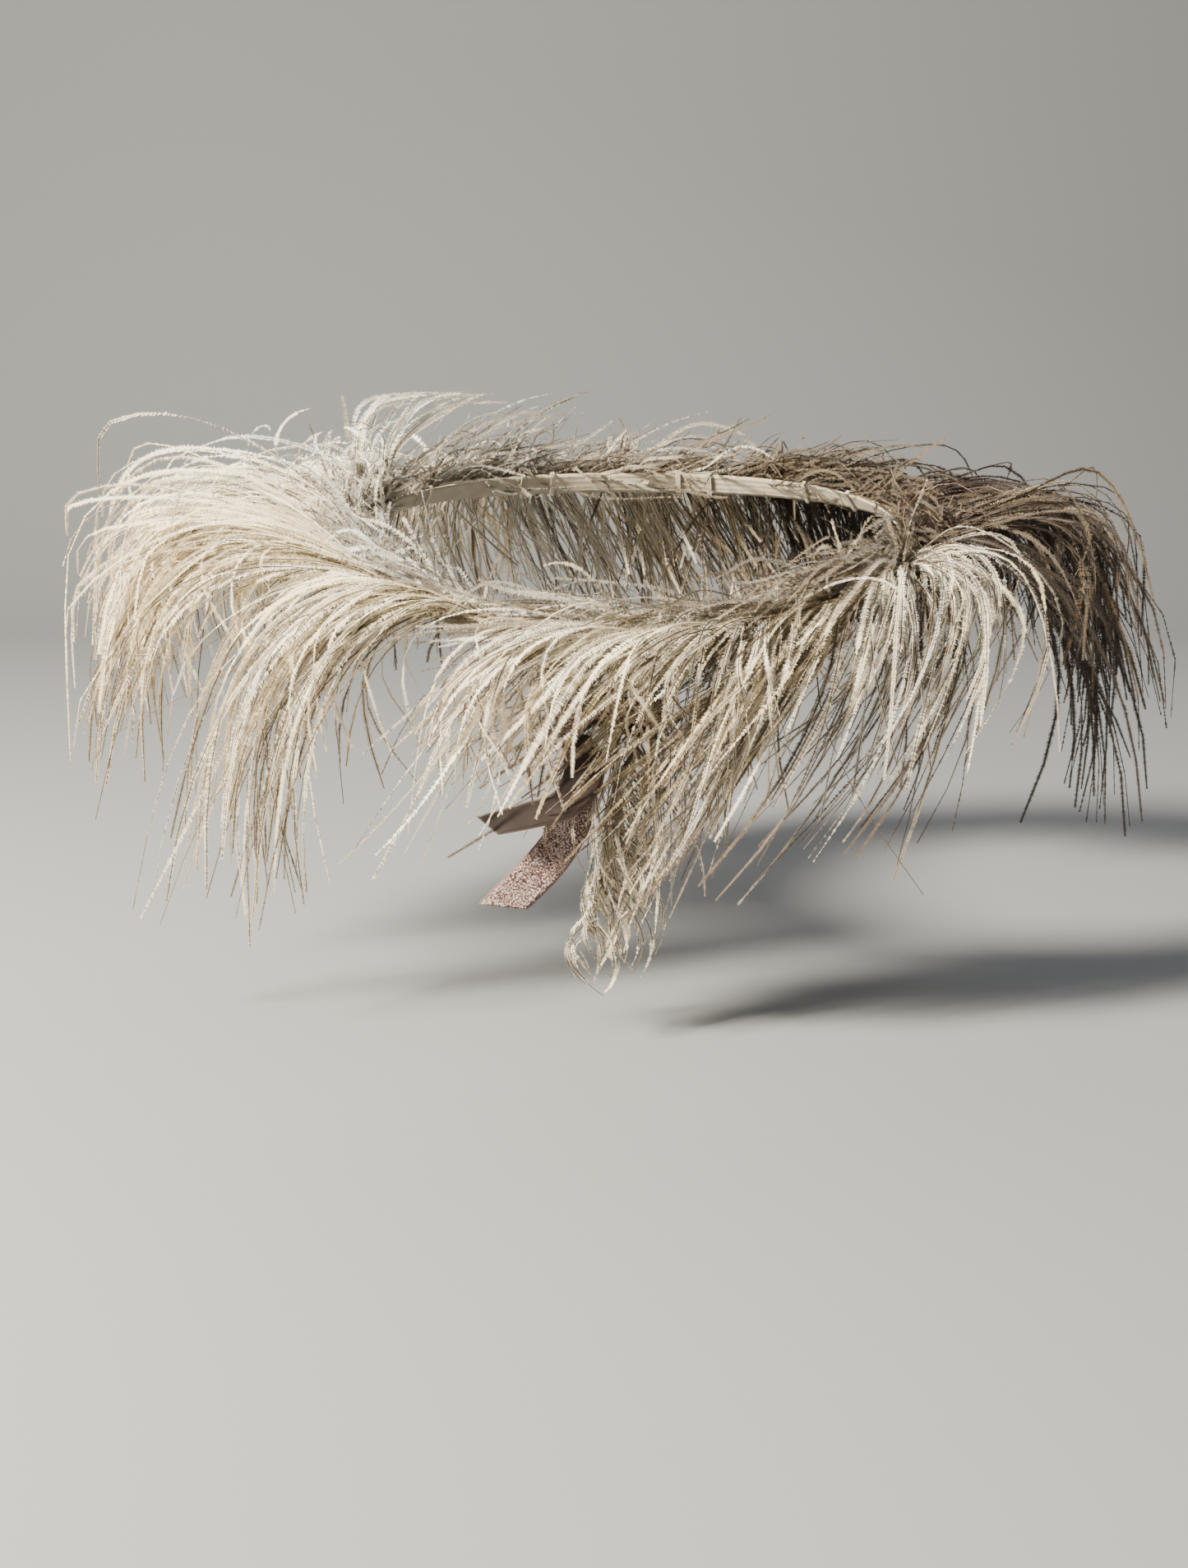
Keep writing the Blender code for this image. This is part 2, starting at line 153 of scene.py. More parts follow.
def barb_fringe():
    """Barbules: tint picks white, cream or fawn; the brown-and-shade value picks how grey brown they
    are and also paints shade, darker on low layers and on the shoulder away from the key lamp.
    """
    mat, tree, out = new_material("ostrich_barb_fringe")
    tint = barb_attribute(tree, "tint")
    along = barb_attribute(tree, "along")
    brown_and_painted_shade = barb_attribute(tree, "brown_and_painted_shade")
    colour = ramp(tree, tint, [(0.0, "#EEF1F2"), (0.25, "#F8F2E2"), (0.55, "#F3E8CC"),
                               (0.80, "#EAD9AE"), (1.0, "#D9C6A6")])
    age = ramp(tree, along, [(0.0, "#F8F6EC"), (0.5, "#FFFFFF"), (1.0, "#F2EAE2")])
    aged = node(tree, "ShaderNodeMix", {6: colour, 7: age}, data_type="RGBA", blend_type="MULTIPLY",
                Factor=1.0).outputs[2]
    # Painted shade: this ramp darkens the fringe by its brown-and-shade value, partly real grey brown,
    # partly shade painted on low layers and on the shoulder away from the key lamp.
    dark = ramp(tree, brown_and_painted_shade, [(0.0, "#332A22"), (0.4, "#857A6B"), (0.78, "#FFFFFF")])
    base = node(tree, "ShaderNodeMix", {6: aged, 7: dark}, data_type="RGBA", blend_type="MULTIPLY",
                Factor=1.0).outputs[2]
    front = node(tree, "ShaderNodeBsdfPrincipled", {"Base__Color": base}, Roughness=0.75,
                 Sheen__Weight=0.25, Sheen__Roughness=0.6)
    through = node(tree, "ShaderNodeBsdfTranslucent", {"Color": base})
    mix = node(tree, "ShaderNodeMixShader", {1: front.outputs[0], 2: through.outputs[0]}, Fac=0.30)
    tree.links.new(mix.outputs[0], out.inputs["Surface"])
    return mat


def barb_stem():
    """Stems: dark horn, but pale where the barb itself is at its palest."""
    mat, tree, out = new_material("ostrich_barb_stem")
    along = barb_attribute(tree, "along")
    dark = ramp(tree, along, [(0.0, "#6E5646"), (0.2, "#3E2E26"), (0.8, "#33241D"),
                              (1.0, "#54402F")])
    pale = ramp(tree, along, [(0.0, "#CDB99B"), (0.5, "#E6DAC0"), (1.0, "#D8C8AA")])
    # Stems turn pale where the brown-and-shade value is highest, so they also follow the painted light
    # on the lit, high layers.
    paleness = node(tree, "ShaderNodeMapRange", {"Value": barb_attribute(tree, "brown_and_painted_shade")},
                    From__Min=0.84, From__Max=0.98).outputs[0]
    colour = node(tree, "ShaderNodeMix", {0: paleness, 6: dark, 7: pale}, data_type="RGBA").outputs[2]
    front = node(tree, "ShaderNodeBsdfPrincipled", {"Base__Color": colour}, Roughness=0.45)
    tree.links.new(front.outputs[0], out.inputs["Surface"])
    return mat


FRINGE = barb_fringe()
STEM = barb_stem()
print("barb finishes:", FRINGE.name, "and", STEM.name)


# %% [markdown]
# ## The barb dresser
# Every barb starts as a bare line of points.  A Geometry Nodes tree turns the line into a stem
# (a three-sided rod that tapers) and sets a pair of barbules on it every 0.7 mm, leaning towards
# the tip.  The curve's Z-up normal lays the fringe flat, as gravity does, and `twist` turns it
# slowly along the barb, like a ribbon.

# %% Geometry Nodes tree
ROLL = 0.45                 # radians, each pair of barbules about its stem
RAGGED = (0.62, 1.15)       # shortest and longest barbule, as a share of the usual one
ROOT_FLUFF, ROOT_GAIN = 0.35, 9.0
TIP_POWER, TIP_LOSS = 9.0, 0.5
STEM_ROOT, STEM_TAPER = 1.1, 0.6


def barbule_pair():
    """Two slim blades either side of the stem; X across, Z towards the barb's tip."""
    half, inner, reach, droop, lean = 0.5, 0.02, 0.9, -0.12, 0.95
    corners = [(inner, 0, -half), (inner, 0, half), (reach, droop, lean),
               (-inner, 0, half), (-inner, 0, -half), (-reach, droop, lean)]
    mesh = bpy.data.meshes.new("barbule_pair")
    mesh.from_pydata(corners, [], [(0, 1, 2), (3, 4, 5)])
    mesh.materials.append(FRINGE)
    obj = bpy.data.objects.new("barbule_pair", mesh)
    bpy.context.collection.objects.link(obj)
    return obj


def dresser_inputs(tree):
    """Sockets on the outside of the tree; returns the inner ends of the inputs."""
    face = tree.interface
    for name, kind in (("Geometry", "Geometry"), ("Stem radius", "Float"),
                       ("Barbule length", "Float"), ("Barbule width", "Float"),
                       ("Barbule pitch", "Float"), ("Seed", "Int"), ("Barbule", "Object"),
                       ("Fringe", "Material"), ("Stem", "Material")):
        face.new_socket(name, in_out="INPUT", socket_type="NodeSocket" + kind)
    face.new_socket("Geometry", in_out="OUTPUT", socket_type="NodeSocketGeometry")
    return node(tree, "NodeGroupInput").outputs


def point_value(tree, name):
    return node(tree, "GeometryNodeInputNamedAttribute", data_type="FLOAT",
                Name=name).outputs["Attribute"]


def maths(tree, kind, *values):
    """One sum or product of sockets and plain numbers."""
    n = node(tree, "ShaderNodeMath", operation=kind)
    for slot, value in enumerate(values):
        if isinstance(value, (int, float)):
            n.inputs[slot].default_value = value
        else:
            tree.links.new(value, n.inputs[slot])
    return n.outputs[0]


def random_value(tree, seed, low, high):
    n = node(tree, "FunctionNodeRandomValue", {"Seed": seed}, data_type="FLOAT")
    n.inputs[2].default_value, n.inputs[3].default_value = low, high
    return n.outputs[1]


def stem_rods(tree, gin, curve):
    """A three-sided rod along each line, thinner towards the tip."""
    taper = maths(tree, "SUBTRACT", STEM_ROOT,
                  maths(tree, "MULTIPLY", point_value(tree, "along"), STEM_TAPER))
    section = node(tree, "GeometryNodeCurvePrimitiveCircle", mode="RADIUS", Resolution=3,
                   Radius=1.0).outputs[0]
    rods = node(tree, "GeometryNodeCurveToMesh",
                {"Curve": curve, "Profile Curve": section,
                 "Scale": maths(tree, "MULTIPLY", taper, gin["Stem radius"])}).outputs[0]
    return node(tree, "GeometryNodeSetMaterial",
                {"Geometry": rods, "Material": gin["Stem"]}).outputs[0]


def barbule_size(tree, gin):
    """Short at the root, ragged in the middle and shorter again at the very tip."""
    along = point_value(tree, "along")
    root = maths(tree, "MULTIPLY", along, ROOT_GAIN)
    root = maths(tree, "MINIMUM", maths(tree, "ADD", root, ROOT_FLUFF), 1.0)
    tip = maths(tree, "MULTIPLY", maths(tree, "POWER", along, TIP_POWER), TIP_LOSS)
    tip = maths(tree, "SUBTRACT", 1.0, tip)
    ragged = random_value(tree, maths(tree, "ADD", gin["Seed"], 7), *RAGGED)
    reach = maths(tree, "MULTIPLY", maths(tree, "MULTIPLY", root, tip),
                  maths(tree, "MULTIPLY", ragged, point_value(tree, "fluff")))
    reach = maths(tree, "MULTIPLY", reach, gin["Barbule length"])
    return node(tree, "ShaderNodeCombineXYZ",
                {"X": reach, "Y": reach, "Z": gin["Barbule width"]}).outputs[0]


def fringe_blades(tree, gin, curve):
    """A pair of barbules at every pitch along each line, rolled a little at random."""
    points = node(tree, "GeometryNodeCurveToPoints",
                  {"Curve": curve, "Length": gin["Barbule pitch"]}, mode="LENGTH").outputs
    roll = random_value(tree, gin["Seed"], -ROLL, ROLL)
    spin = node(tree, "ShaderNodeCombineXYZ", {"Z": roll}).outputs[0]
    turned = node(tree, "FunctionNodeRotateRotation",
                  {"Rotation": points["Rotation"], "Rotate By": spin},
                  rotation_space="LOCAL").outputs[0]
    blade = node(tree, "GeometryNodeObjectInfo", {"Object": gin["Barbule"]}).outputs["Geometry"]
    fringe = node(tree, "GeometryNodeInstanceOnPoints",
                  {"Points": points["Points"], "Instance": blade, "Rotation": turned,
                   "Scale": barbule_size(tree, gin)}).outputs[0]
    fringe = node(tree, "GeometryNodeRealizeInstances", {"Geometry": fringe}).outputs[0]
    return node(tree, "GeometryNodeSetMaterial",
                {"Geometry": fringe, "Material": gin["Fringe"]}).outputs[0]


def dresser_tree():
    tree = bpy.data.node_groups.new("dress_barbs", "GeometryNodeTree")
    gin = dresser_inputs(tree)
    curve = node(tree, "GeometryNodeMeshToCurve", {"Mesh": gin["Geometry"]}).outputs[0]
    curve = node(tree, "GeometryNodeSetCurveNormal", {"Curve": curve}, mode="Z_UP").outputs[0]
    curve = node(tree, "GeometryNodeSetCurveTilt",
                 {"Curve": curve, "Tilt": point_value(tree, "twist")}).outputs[0]
    joined = node(tree, "GeometryNodeJoinGeometry")
    tree.links.new(stem_rods(tree, gin, curve), joined.inputs[0])
    tree.links.new(fringe_blades(tree, gin, curve), joined.inputs[0])
    out = node(tree, "NodeGroupOutput")
    tree.links.new(joined.outputs[0], out.inputs[0])
    return tree


BARBULE = barbule_pair()
DRESSER = dresser_tree()
print("dresser:", len(DRESSER.nodes), "nodes")


# %% [markdown]
# ## The neck loop and the drape
# The tape is an ellipse that dips at the throat and rises at the nape.  Every plume lies along it,
# so quills, barbs and bindings are all placed by one angle: 0 at the wearer's left shoulder (+X),
# 90 at the nape.  `DRAPE` says where barbs leaving at an angle crest and where their tips fall;
# its first and last rows are one place, so it closes round the loop.

# %% Loop and drape
NECK_CENTRE = np.array((0.012, -0.010, -0.003))
HALF_WIDTH, HALF_DEPTH = 0.178, 0.120
NAPE_RISE, SHOULDER_RISE = 0.038, 0.012
STEEP_SLOPE, SHOULDER_SLOPE = 0.45, 0.40
QUILL_LIFT = 3.3 * MM
UP = np.array((0.0, 0.0, 1.0))

# angle, where barbs that leave there crest, and where their tips fall
DRAPE = [
    (-110, (-0.090, -0.172, -0.034), (-0.112, -0.150, -0.100)),
    (-98, (-0.035, -0.188, -0.040), (-0.058, -0.150, -0.114)),
    (-80, (0.045, -0.196, -0.040), (0.030, -0.168, -0.158)),
    (-60, (0.130, -0.186, -0.026), (0.112, -0.158, -0.112)),
    (-40, (0.218, -0.150, 0.004), (0.196, -0.130, -0.122)),
    (-20, (0.285, -0.088, 0.040), (0.278, -0.078, -0.138)),
    (0, (0.315, 0.000, 0.062), (0.338, -0.022, -0.090)),
    (15, (0.300, 0.064, 0.062), (0.330, 0.045, -0.080)),
    (35, (0.230, 0.130, 0.055), (0.272, 0.115, -0.088)),
    (60, (0.140, 0.180, 0.050), (0.170, 0.176, -0.092)),
    (90, (0.030, 0.196, 0.052), (0.062, 0.200, -0.095)),
    (112, (-0.065, 0.190, 0.056), (-0.050, 0.200, -0.092)),
    (135, (-0.168, 0.152, 0.066), (-0.186, 0.162, -0.084)),
    (160, (-0.262, 0.080, 0.076), (-0.288, 0.092, -0.076)),
    (175, (-0.312, 0.020, 0.072), (-0.334, 0.030, -0.080)),
    (192, (-0.306, -0.042, 0.052), (-0.324, -0.030, -0.125)),
    (210, (-0.252, -0.104, 0.024), (-0.268, -0.085, -0.180)),
    (230, (-0.172, -0.148, -0.008), (-0.182, -0.125, -0.186)),
    (250, (-0.090, -0.172, -0.034), (-0.112, -0.150, -0.100)),
]
DRAPE_ANGLES = np.array([row[0] for row in DRAPE], float)
CREST = np.array([row[1] for row in DRAPE])
FALL = np.array([row[2] for row in DRAPE])


def unit(v):
    return v / np.linalg.norm(v, axis=-1, keepdims=True)


def neck(angle):
    """The tape's middle line."""
    a = np.radians(angle)
    c, s = np.cos(a), np.sin(a)
    return NECK_CENTRE + np.stack([HALF_WIDTH * c, HALF_DEPTH * s,
                                   NAPE_RISE * s + SHOULDER_RISE * c * c], -1)


def along_loop(angle):
    """The way the plumes run, from butt to tip."""
    angle = np.asarray(angle, float)
    return unit(neck(angle - 0.5) - neck(angle + 0.5))


def outward(angle):
    """Level and away from the neck."""
    a = np.radians(angle)
    return unit(np.stack([np.cos(a) / HALF_WIDTH, np.sin(a) / HALF_DEPTH, a * 0], -1))


def across(angle):
    """Across the tape, downhill: steep at throat and nape, flatter over the shoulders."""
    out = (STEEP_SLOPE + SHOULDER_SLOPE * np.cos(np.radians(angle)) ** 2)[..., None]
    d = outward(angle) * out - UP * np.sqrt(1 - out * out)
    t = along_loop(angle)
    return unit(d - t * (d * t).sum(-1, keepdims=True))


def face_normal(angle):
    """Out of the tape's upper face."""
    n = unit(np.cross(across(angle), along_loop(angle)))
    sign = np.sign((n * (outward(angle) + UP)).sum(-1, keepdims=True))
    return n * sign


def quill_line(angle):
    """The middle of a quill that lies on the tape."""
    return neck(angle) + face_normal(angle) * QUILL_LIFT


def drape(angle, table):
    """Smooth reading of CREST or FALL at any angle, closed round the loop."""
    keys = DRAPE_ANGLES
    a = (np.asarray(angle, float) - keys[0]) % 360 + keys[0]
    k = np.clip(np.searchsorted(keys, a, side="right") - 1, 0, len(keys) - 2)
    n = len(keys) - 1
    span = keys[k + 1] - keys[k]
    t = ((a - keys[k]) / span)[..., None]
    before, after = (k - 1) % n, (k + 2) % n
    gap_before = (keys[k] - keys[before]) % 360
    gap_after = (keys[after] - keys[k + 1]) % 360
    p0, p1, p2, p3 = table[before], table[k], table[k + 1], table[after]
    m1 = (p2 - p0) * (span / (span + gap_before))[..., None]
    m2 = (p3 - p1) * (span / (span + gap_after))[..., None]
    return (p1 * (2 * t ** 3 - 3 * t ** 2 + 1) + m1 * (t ** 3 - 2 * t ** 2 + t)
            + p2 * (-2 * t ** 3 + 3 * t ** 2) + m2 * (t ** 3 - t ** 2))


print("loop:", round(2 * HALF_WIDTH, 3), "m wide,", len(DRAPE), "rows of drape")


# %% [markdown]
# ## Growing barbs
# Barbs leave the quill at a slant, crest over the shoulder and fall.  They cling in locks, so each
# lock shares its own length, sweep, tip and waves, and each barb adds a little of its own.  A few
# stray.  Everything is drawn from one seeded generator per plume, so the result never changes.

# %% Barb growing
BOX_SPARE = 0.1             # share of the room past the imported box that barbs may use
BOX_SOFT = 16 * MM
POINTS = 15


def fit_in_box(points):
    """Ease anything past the allowed space back inside it."""
    low, high = np.array(cad_box[0]), np.array(cad_box[1])
    spare = (0.03 * (high - low) + 10 * MM) * BOX_SPARE
    low, high = low - spare, high + spare
    over = np.maximum(points - (high - BOX_SOFT), 0)
    points = points - over + BOX_SOFT * np.tanh(over / BOX_SOFT)
    under = np.maximum((low + BOX_SOFT) - points, 0)
    return points + under - BOX_SOFT * np.tanh(under / BOX_SOFT)


def clear_neck(points, least):
    """Push points out of the neck opening, to `least` of the tape's ellipse."""
    flat = (points[..., :2] - NECK_CENTRE[:2]) / (HALF_WIDTH, HALF_DEPTH)
    q = np.maximum(np.linalg.norm(flat, axis=-1, keepdims=True), 1e-6)
    out = points.copy()
    out[..., :2] = flat / q * np.maximum(q, least) * (HALF_WIDTH, HALF_DEPTH) + NECK_CENTRE[:2]
    return out


def waves(rng, count, t, size, power, slow=0.9, fast=2.6):
    """Random smooth sideways drift for `count` lines, growing from root to tip."""
    phase = rng.uniform(0, 2 * np.pi, (count, 3, 2))
    turns = rng.uniform(slow, fast, (count, 3, 2))
    swing = np.sin(turns[..., None] * np.pi * t + phase[..., None]) - np.sin(phase)[..., None]
    scale = rng.normal(0, 1, (count, 3, 2, 1)) * np.array((1.0, 0.45))[:, None]
    return (swing * scale).sum(2).transpose(0, 2, 1) * size * t[None, :, None] ** power


def bezier(points, t):
    """Curve through control points given as a list of (count, 3) arrays."""
    t = t[None, :, None]
    layer = [p[:, None, :] for p in points]
    while len(layer) > 1:
        layer = [a * (1 - t) + b * t for a, b in zip(layer, layer[1:])]
    return layer[0]


# long barbs: locks on a plume, barbs in a lock and the share of strays
LOCKS, PER_LOCK, STRAY = 9, 27, 0.14
SHORT_SHARE = 0.28
LAYER_LIFT = 15 * MM        # from the lowest lock to the highest
HELD_OUT, HELD_DOWN = 9 * MM, 72 * MM
LEAVE = (0.036, 0.062)      # how far a barb runs on before it turns outwards
LOCK_WAVE, BARB_WAVE = 5.5 * MM, 5.2 * MM
HOOK_START, HOOK_REACH = 0.58, 26 * MM


def lock_roots(rng, butt, tip):
    """Where each barb leaves its quill and where the middle of its lock does."""
    lock = np.repeat(np.arange(LOCKS), PER_LOCK)
    low, span = butt - 1.0, tip - butt - 0.5
    centre = (np.arange(LOCKS) + 0.5 + rng.uniform(-0.3, 0.3, LOCKS)) / LOCKS
    u = np.clip(centre[lock] + rng.normal(0, 0.62 / LOCKS, len(lock)), 0.0, 1.0)
    return lock, u, low + span * u, low + span * centre[lock]


def lock_lengths(rng, lock):
    """Each lock has its own length; some barbs in it are broken short."""
    count = len(lock)
    length = rng.uniform(0.80, 1.08, LOCKS)[lock] + rng.normal(0, 0.06, count)
    short = rng.uniform(0, 1, count) < SHORT_SHARE
    return np.where(short, length * rng.uniform(0.4, 0.92, count), length)


def hook_tips(rng, lines, lock, root_angle):
    """Bend the last stretch of every barb, mostly the way its lock bends."""
    count = len(lock)
    t = np.linspace(0, 1, POINTS)
    hook = np.clip((t - HOOK_START) / (1 - HOOK_START), 0, 1)[None, :, None] ** 2.2
    side = along_loop(root_angle)[:, None, :]
    out = outward(root_angle)[:, None, :]
    bend = rng.normal(0.2, 0.45, (LOCKS, 1, 1))[lock] + rng.normal(0, 0.55, (count, 1, 1))
    tuck = rng.normal(-0.35, 0.45, (count, 1, 1))
    return lines + hook * (side * bend + out * tuck - UP * 0.2) * HOOK_REACH


def outer_barbs(rng, butt, tip, crest_sweep, tip_sweep, arch, fan):
    """Long barbs of the outer vane: lines, lock of each, how loose and how high each one is.

    Barbs sweep on past the place where they leave.  `fan` is the share of that sweep that barbs
    at the butt have; it grows to all of it along the quill, so a low value spreads the first
    barbs out like a hand of cards.
    """
    lock, u, root_angle, lock_angle = lock_roots(rng, butt, tip)
    count = len(lock)
    loose = (rng.uniform(0, 1, count) < STRAY).astype(float)
    pull = rng.uniform(0, 1, LOCKS)[lock]
    swept = fan + (1 - fan) * np.clip(u / 0.45, 0, 1)
    crown_angle = 0.7 * root_angle + 0.3 * lock_angle \
        + rng.normal(0, 3.6, count) * (1 + 2 * loose) \
        - (crest_sweep[0] + (crest_sweep[1] - crest_sweep[0]) * pull) * swept
    tip_angle = 0.35 * root_angle + 0.65 * lock_angle \
        + rng.normal(0, 3.4, count) * (1 + 3 * loose) \
        - (tip_sweep[0] + (tip_sweep[1] - tip_sweep[0]) * pull) * swept
    over = rng.permutation(LOCKS)[lock] / (LOCKS - 1)
    length = lock_lengths(rng, lock)
    ply = over + rng.normal(0, 0.22, count)

    # root, crest and tip of every barb; high layers are held up by the ones under them
    root = quill_line(root_angle) + across(root_angle) * 1.6 * MM \
        + face_normal(root_angle) * 1.2 * MM * rng.uniform(-0.5, 1.0, (count, 1))
    out = outward(root_angle)
    high = (ply * LAYER_LIFT + np.abs(loose * rng.normal(0, 18 * MM, count)))[:, None] * arch
    crest = drape(crown_angle, CREST) + (out * 0.5 + UP) * high
    fall = drape(tip_angle, FALL) + out * high * 0.7
    kept_up = (np.clip(ply, 0, 1.2) ** 1.6 * 0.62 * np.minimum(arch, 1.1))[:, None]
    fall = fall * (1 - kept_up) + (crest + out * HELD_OUT - UP * HELD_DOWN) * kept_up
    fall = fall + rng.normal(0, 4 * MM, (LOCKS, 3))[lock] + rng.normal(0, 7 * MM, (count, 3))
    crest = root + (crest - root) * np.minimum(length[:, None], 1) ** 0.5
    fall = root + (fall - root) * length[:, None]
    leave = root + unit(along_loop(root_angle) + out * 0.55 + UP * 0.45 * arch) \
        * rng.uniform(*LEAVE, (count, 1)) * length[:, None]

    t = np.linspace(0, 1, POINTS)
    lines = bezier([root, leave, crest, fall], t)
    lines = lines + waves(rng, LOCKS, t, LOCK_WAVE, 1.1)[lock]
    lines = lines + waves(rng, count, t, BARB_WAVE, 1.0, 0.8, 2.8) * (1 + 0.9 * loose[:, None, None])
    return hook_tips(rng, lines, lock, root_angle), lock, loose, ply


DOWN_LEAN, DOWN_CURL = 13 * MM, 4.5 * MM
DOWN_FAN = 0.40
TRAILING_SHARE = 0.3        # of the down lies back along the quill instead of standing


def neck_barbs(rng, butt, tip, count, height, length):
    """Down standing on the neck side of a quill and trailing towards its tip."""
    angle = butt - 1.5 + (tip - butt + 2.0) * rng.uniform(0, 1, count)
    t = np.linspace(0, 1, POINTS)
    size = rng.uniform(0.5, 1.1, count)[:, None]
    root = quill_line(angle) - across(angle) * 1.4 * MM + face_normal(angle) * 1.0 * MM
    trail = along_loop(angle)
    trailing = rng.uniform(0, 1, (count, 1)) < TRAILING_SHARE
    tall = UP * height * size * np.where(trailing, rng.uniform(-0.35, 0.2, (count, 1)),
                                         rng.uniform(0.3, 1.15, (count, 1)))
    spread = rng.normal(0, DOWN_FAN, (count, 1)) * trail * length
    lean = -outward(angle) * DOWN_LEAN * rng.uniform(-1.2, 1.0, (count, 1))
    middle = root + trail * length * 0.4 * size + tall * 0.9 + lean + spread * 0.3
    end = root + trail * length * size + tall * rng.uniform(0.2, 1.15, (count, 1)) \
        + lean * 1.4 + spread
    lines = bezier([root, middle, end], t) + waves(rng, count, t, DOWN_CURL, 1.2)
    hook = np.clip((t - 0.6) / 0.4, 0, 1)[None, :, None] ** 2
    return lines + hook * rng.normal(0, 1, (count, 1, 3)) * (7 * MM, 7 * MM, 9 * MM)


print("plume:", LOCKS, "locks of", PER_LOCK, "barbs,", POINTS, "points each")


# %% [markdown]
# ## Dressing the barbs
# One function makes the line mesh with its attributes, runs the dresser on it, keeps the plain mesh
# and parents it to the body it rides on, hiding the imported pieces that it stands for.

# %% Dress and attach
def line_mesh(name, lines, looks):
    """Loose edges through each barb's points, with one value per barb for each attribute."""
    count, points = lines.shape[:2]
    mesh = bpy.data.meshes.new(name + "_lines")
    mesh.vertices.add(count * points)
    mesh.vertices.foreach_set("co", lines.astype(np.float32).ravel())
    first = (np.arange(count)[:, None] * points + np.arange(points - 1)[None]).ravel()
    mesh.edges.add(len(first))
    mesh.edges.foreach_set("vertices", np.stack([first, first + 1], 1).astype(np.int32).ravel())
    values = dict(looks, along=np.tile(np.linspace(0, 1, points), (count, 1)))
    for key, value in values.items():
        value = np.asarray(value, float)
        if value.ndim == 1:
            value = np.repeat(value[:, None], points, 1)
        mesh.attributes.new(key, "FLOAT", "POINT").data.foreach_set("value", value.ravel())
    return mesh


BARBULE_PITCH, BARBULE_WIDTH = 0.72 * MM, 0.85 * MM


def dress(name, body, lines, looks, stand_for, seed, length=2.5, stem=0.5):
    """Grow barbules on the lines and keep the plain mesh that comes out, on its body.

    `length` is a barbule's and `stem` is a stem's radius, both in millimetres.
    """
    bare = bpy.data.objects.new(name + "_lines", line_mesh(name, lines, looks))
    bpy.context.collection.objects.link(bare)
    modifier = bare.modifiers.new("dress", "NODES")
    modifier.node_group = DRESSER
    socket = {item.name: item.identifier for item in DRESSER.interface.items_tree
              if item.in_out == "INPUT"}
    settings = {"Stem radius": stem * MM, "Barbule length": length * MM,
                "Barbule width": BARBULE_WIDTH, "Barbule pitch": BARBULE_PITCH, "Seed": seed,
                "Barbule": BARBULE, "Fringe": FRINGE, "Stem": STEM}
    for key, value in settings.items():
        modifier[socket[key]] = value
    depsgraph = bpy.context.evaluated_depsgraph_get()
    dressed = bpy.data.meshes.new_from_object(bare.evaluated_get(depsgraph))
    bpy.data.objects.remove(bare)
    dressed.name = name
    obj = bpy.data.objects.new(name, dressed)
    bpy.context.collection.objects.link(obj)
    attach(obj, body)
    if stand_for:
        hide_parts(*stand_for)
    triangles = sum(len(p.vertices) - 2 for p in dressed.polygons)
    print(f"{name}: {len(lines)} barbs, {triangles} triangles")
    return obj


# %% [markdown]
# ## The eight plumes
# White over the wearer's right shoulder, cream in front, and grey brown over the left shoulder.
# A low value of brown and painted shade makes a brown barb, partly real grey brown and partly
# painted shade: the plume over the left shoulder, away from the key lamp, is painted dark, and
# lower layers are painted darker than the highest, palest ones.

# %% Plumes
# name: butt angle, tip angle, tint, brown and painted shade, crest sweep, tip sweep, arch, fan
PLUMES = {
    "back_left": (142.0, 113.0, 0.30, 0.80, (4, 9), (6, 14), 1.0, 0.7),
    "back_centre": (109.0, 77.0, 0.40, 0.70, (4, 9), (6, 14), 1.0, 0.7),
    "back_right": (73.0, 45.5, 0.50, 0.12, (0, 6), (2, 10), 1.0, 0.7),
    "right_shoulder": (34.5, -9.0, 0.50, -0.12, (3, 10), (5, 17), 1.0, 0.5),
    "right_front": (-13.0, -52.0, 0.36, 0.60, (20, 32), (32, 56), 0.9, 0.38),
    "centre_front": (-56.0, -94.0, 0.40, 0.74, (12, 19), (14, 27), 0.9, 0.9),
    "left_front": (246.0, 203.0, 0.40, 0.88, (12, 19), (16, 30), 1.2, 0.9),
    "left_shoulder": (199.0, 153.5, 0.24, 0.86, (3, 9), (5, 14), 1.3, 0.7),
}
# name: number of barbs, height, length, tint, barbule length
DOWN = {
    "back_left": (150, 0.050, 0.060, 0.12, 1.8),
    "back_centre": (140, 0.034, 0.060, 0.25, 1.8),
    "back_right": (140, 0.034, 0.055, 0.40, 1.8),
    "right_shoulder": (150, 0.030, 0.055, 0.45, 1.8),
    "right_front": (180, 0.050, 0.100, 0.22, 2.3),
    "centre_front": (180, 0.038, 0.095, 0.20, 2.3),
    "left_front": (190, 0.040, 0.055, 0.05, 2.2),
    "left_shoulder": (170, 0.044, 0.055, 0.12, 2.0),
}


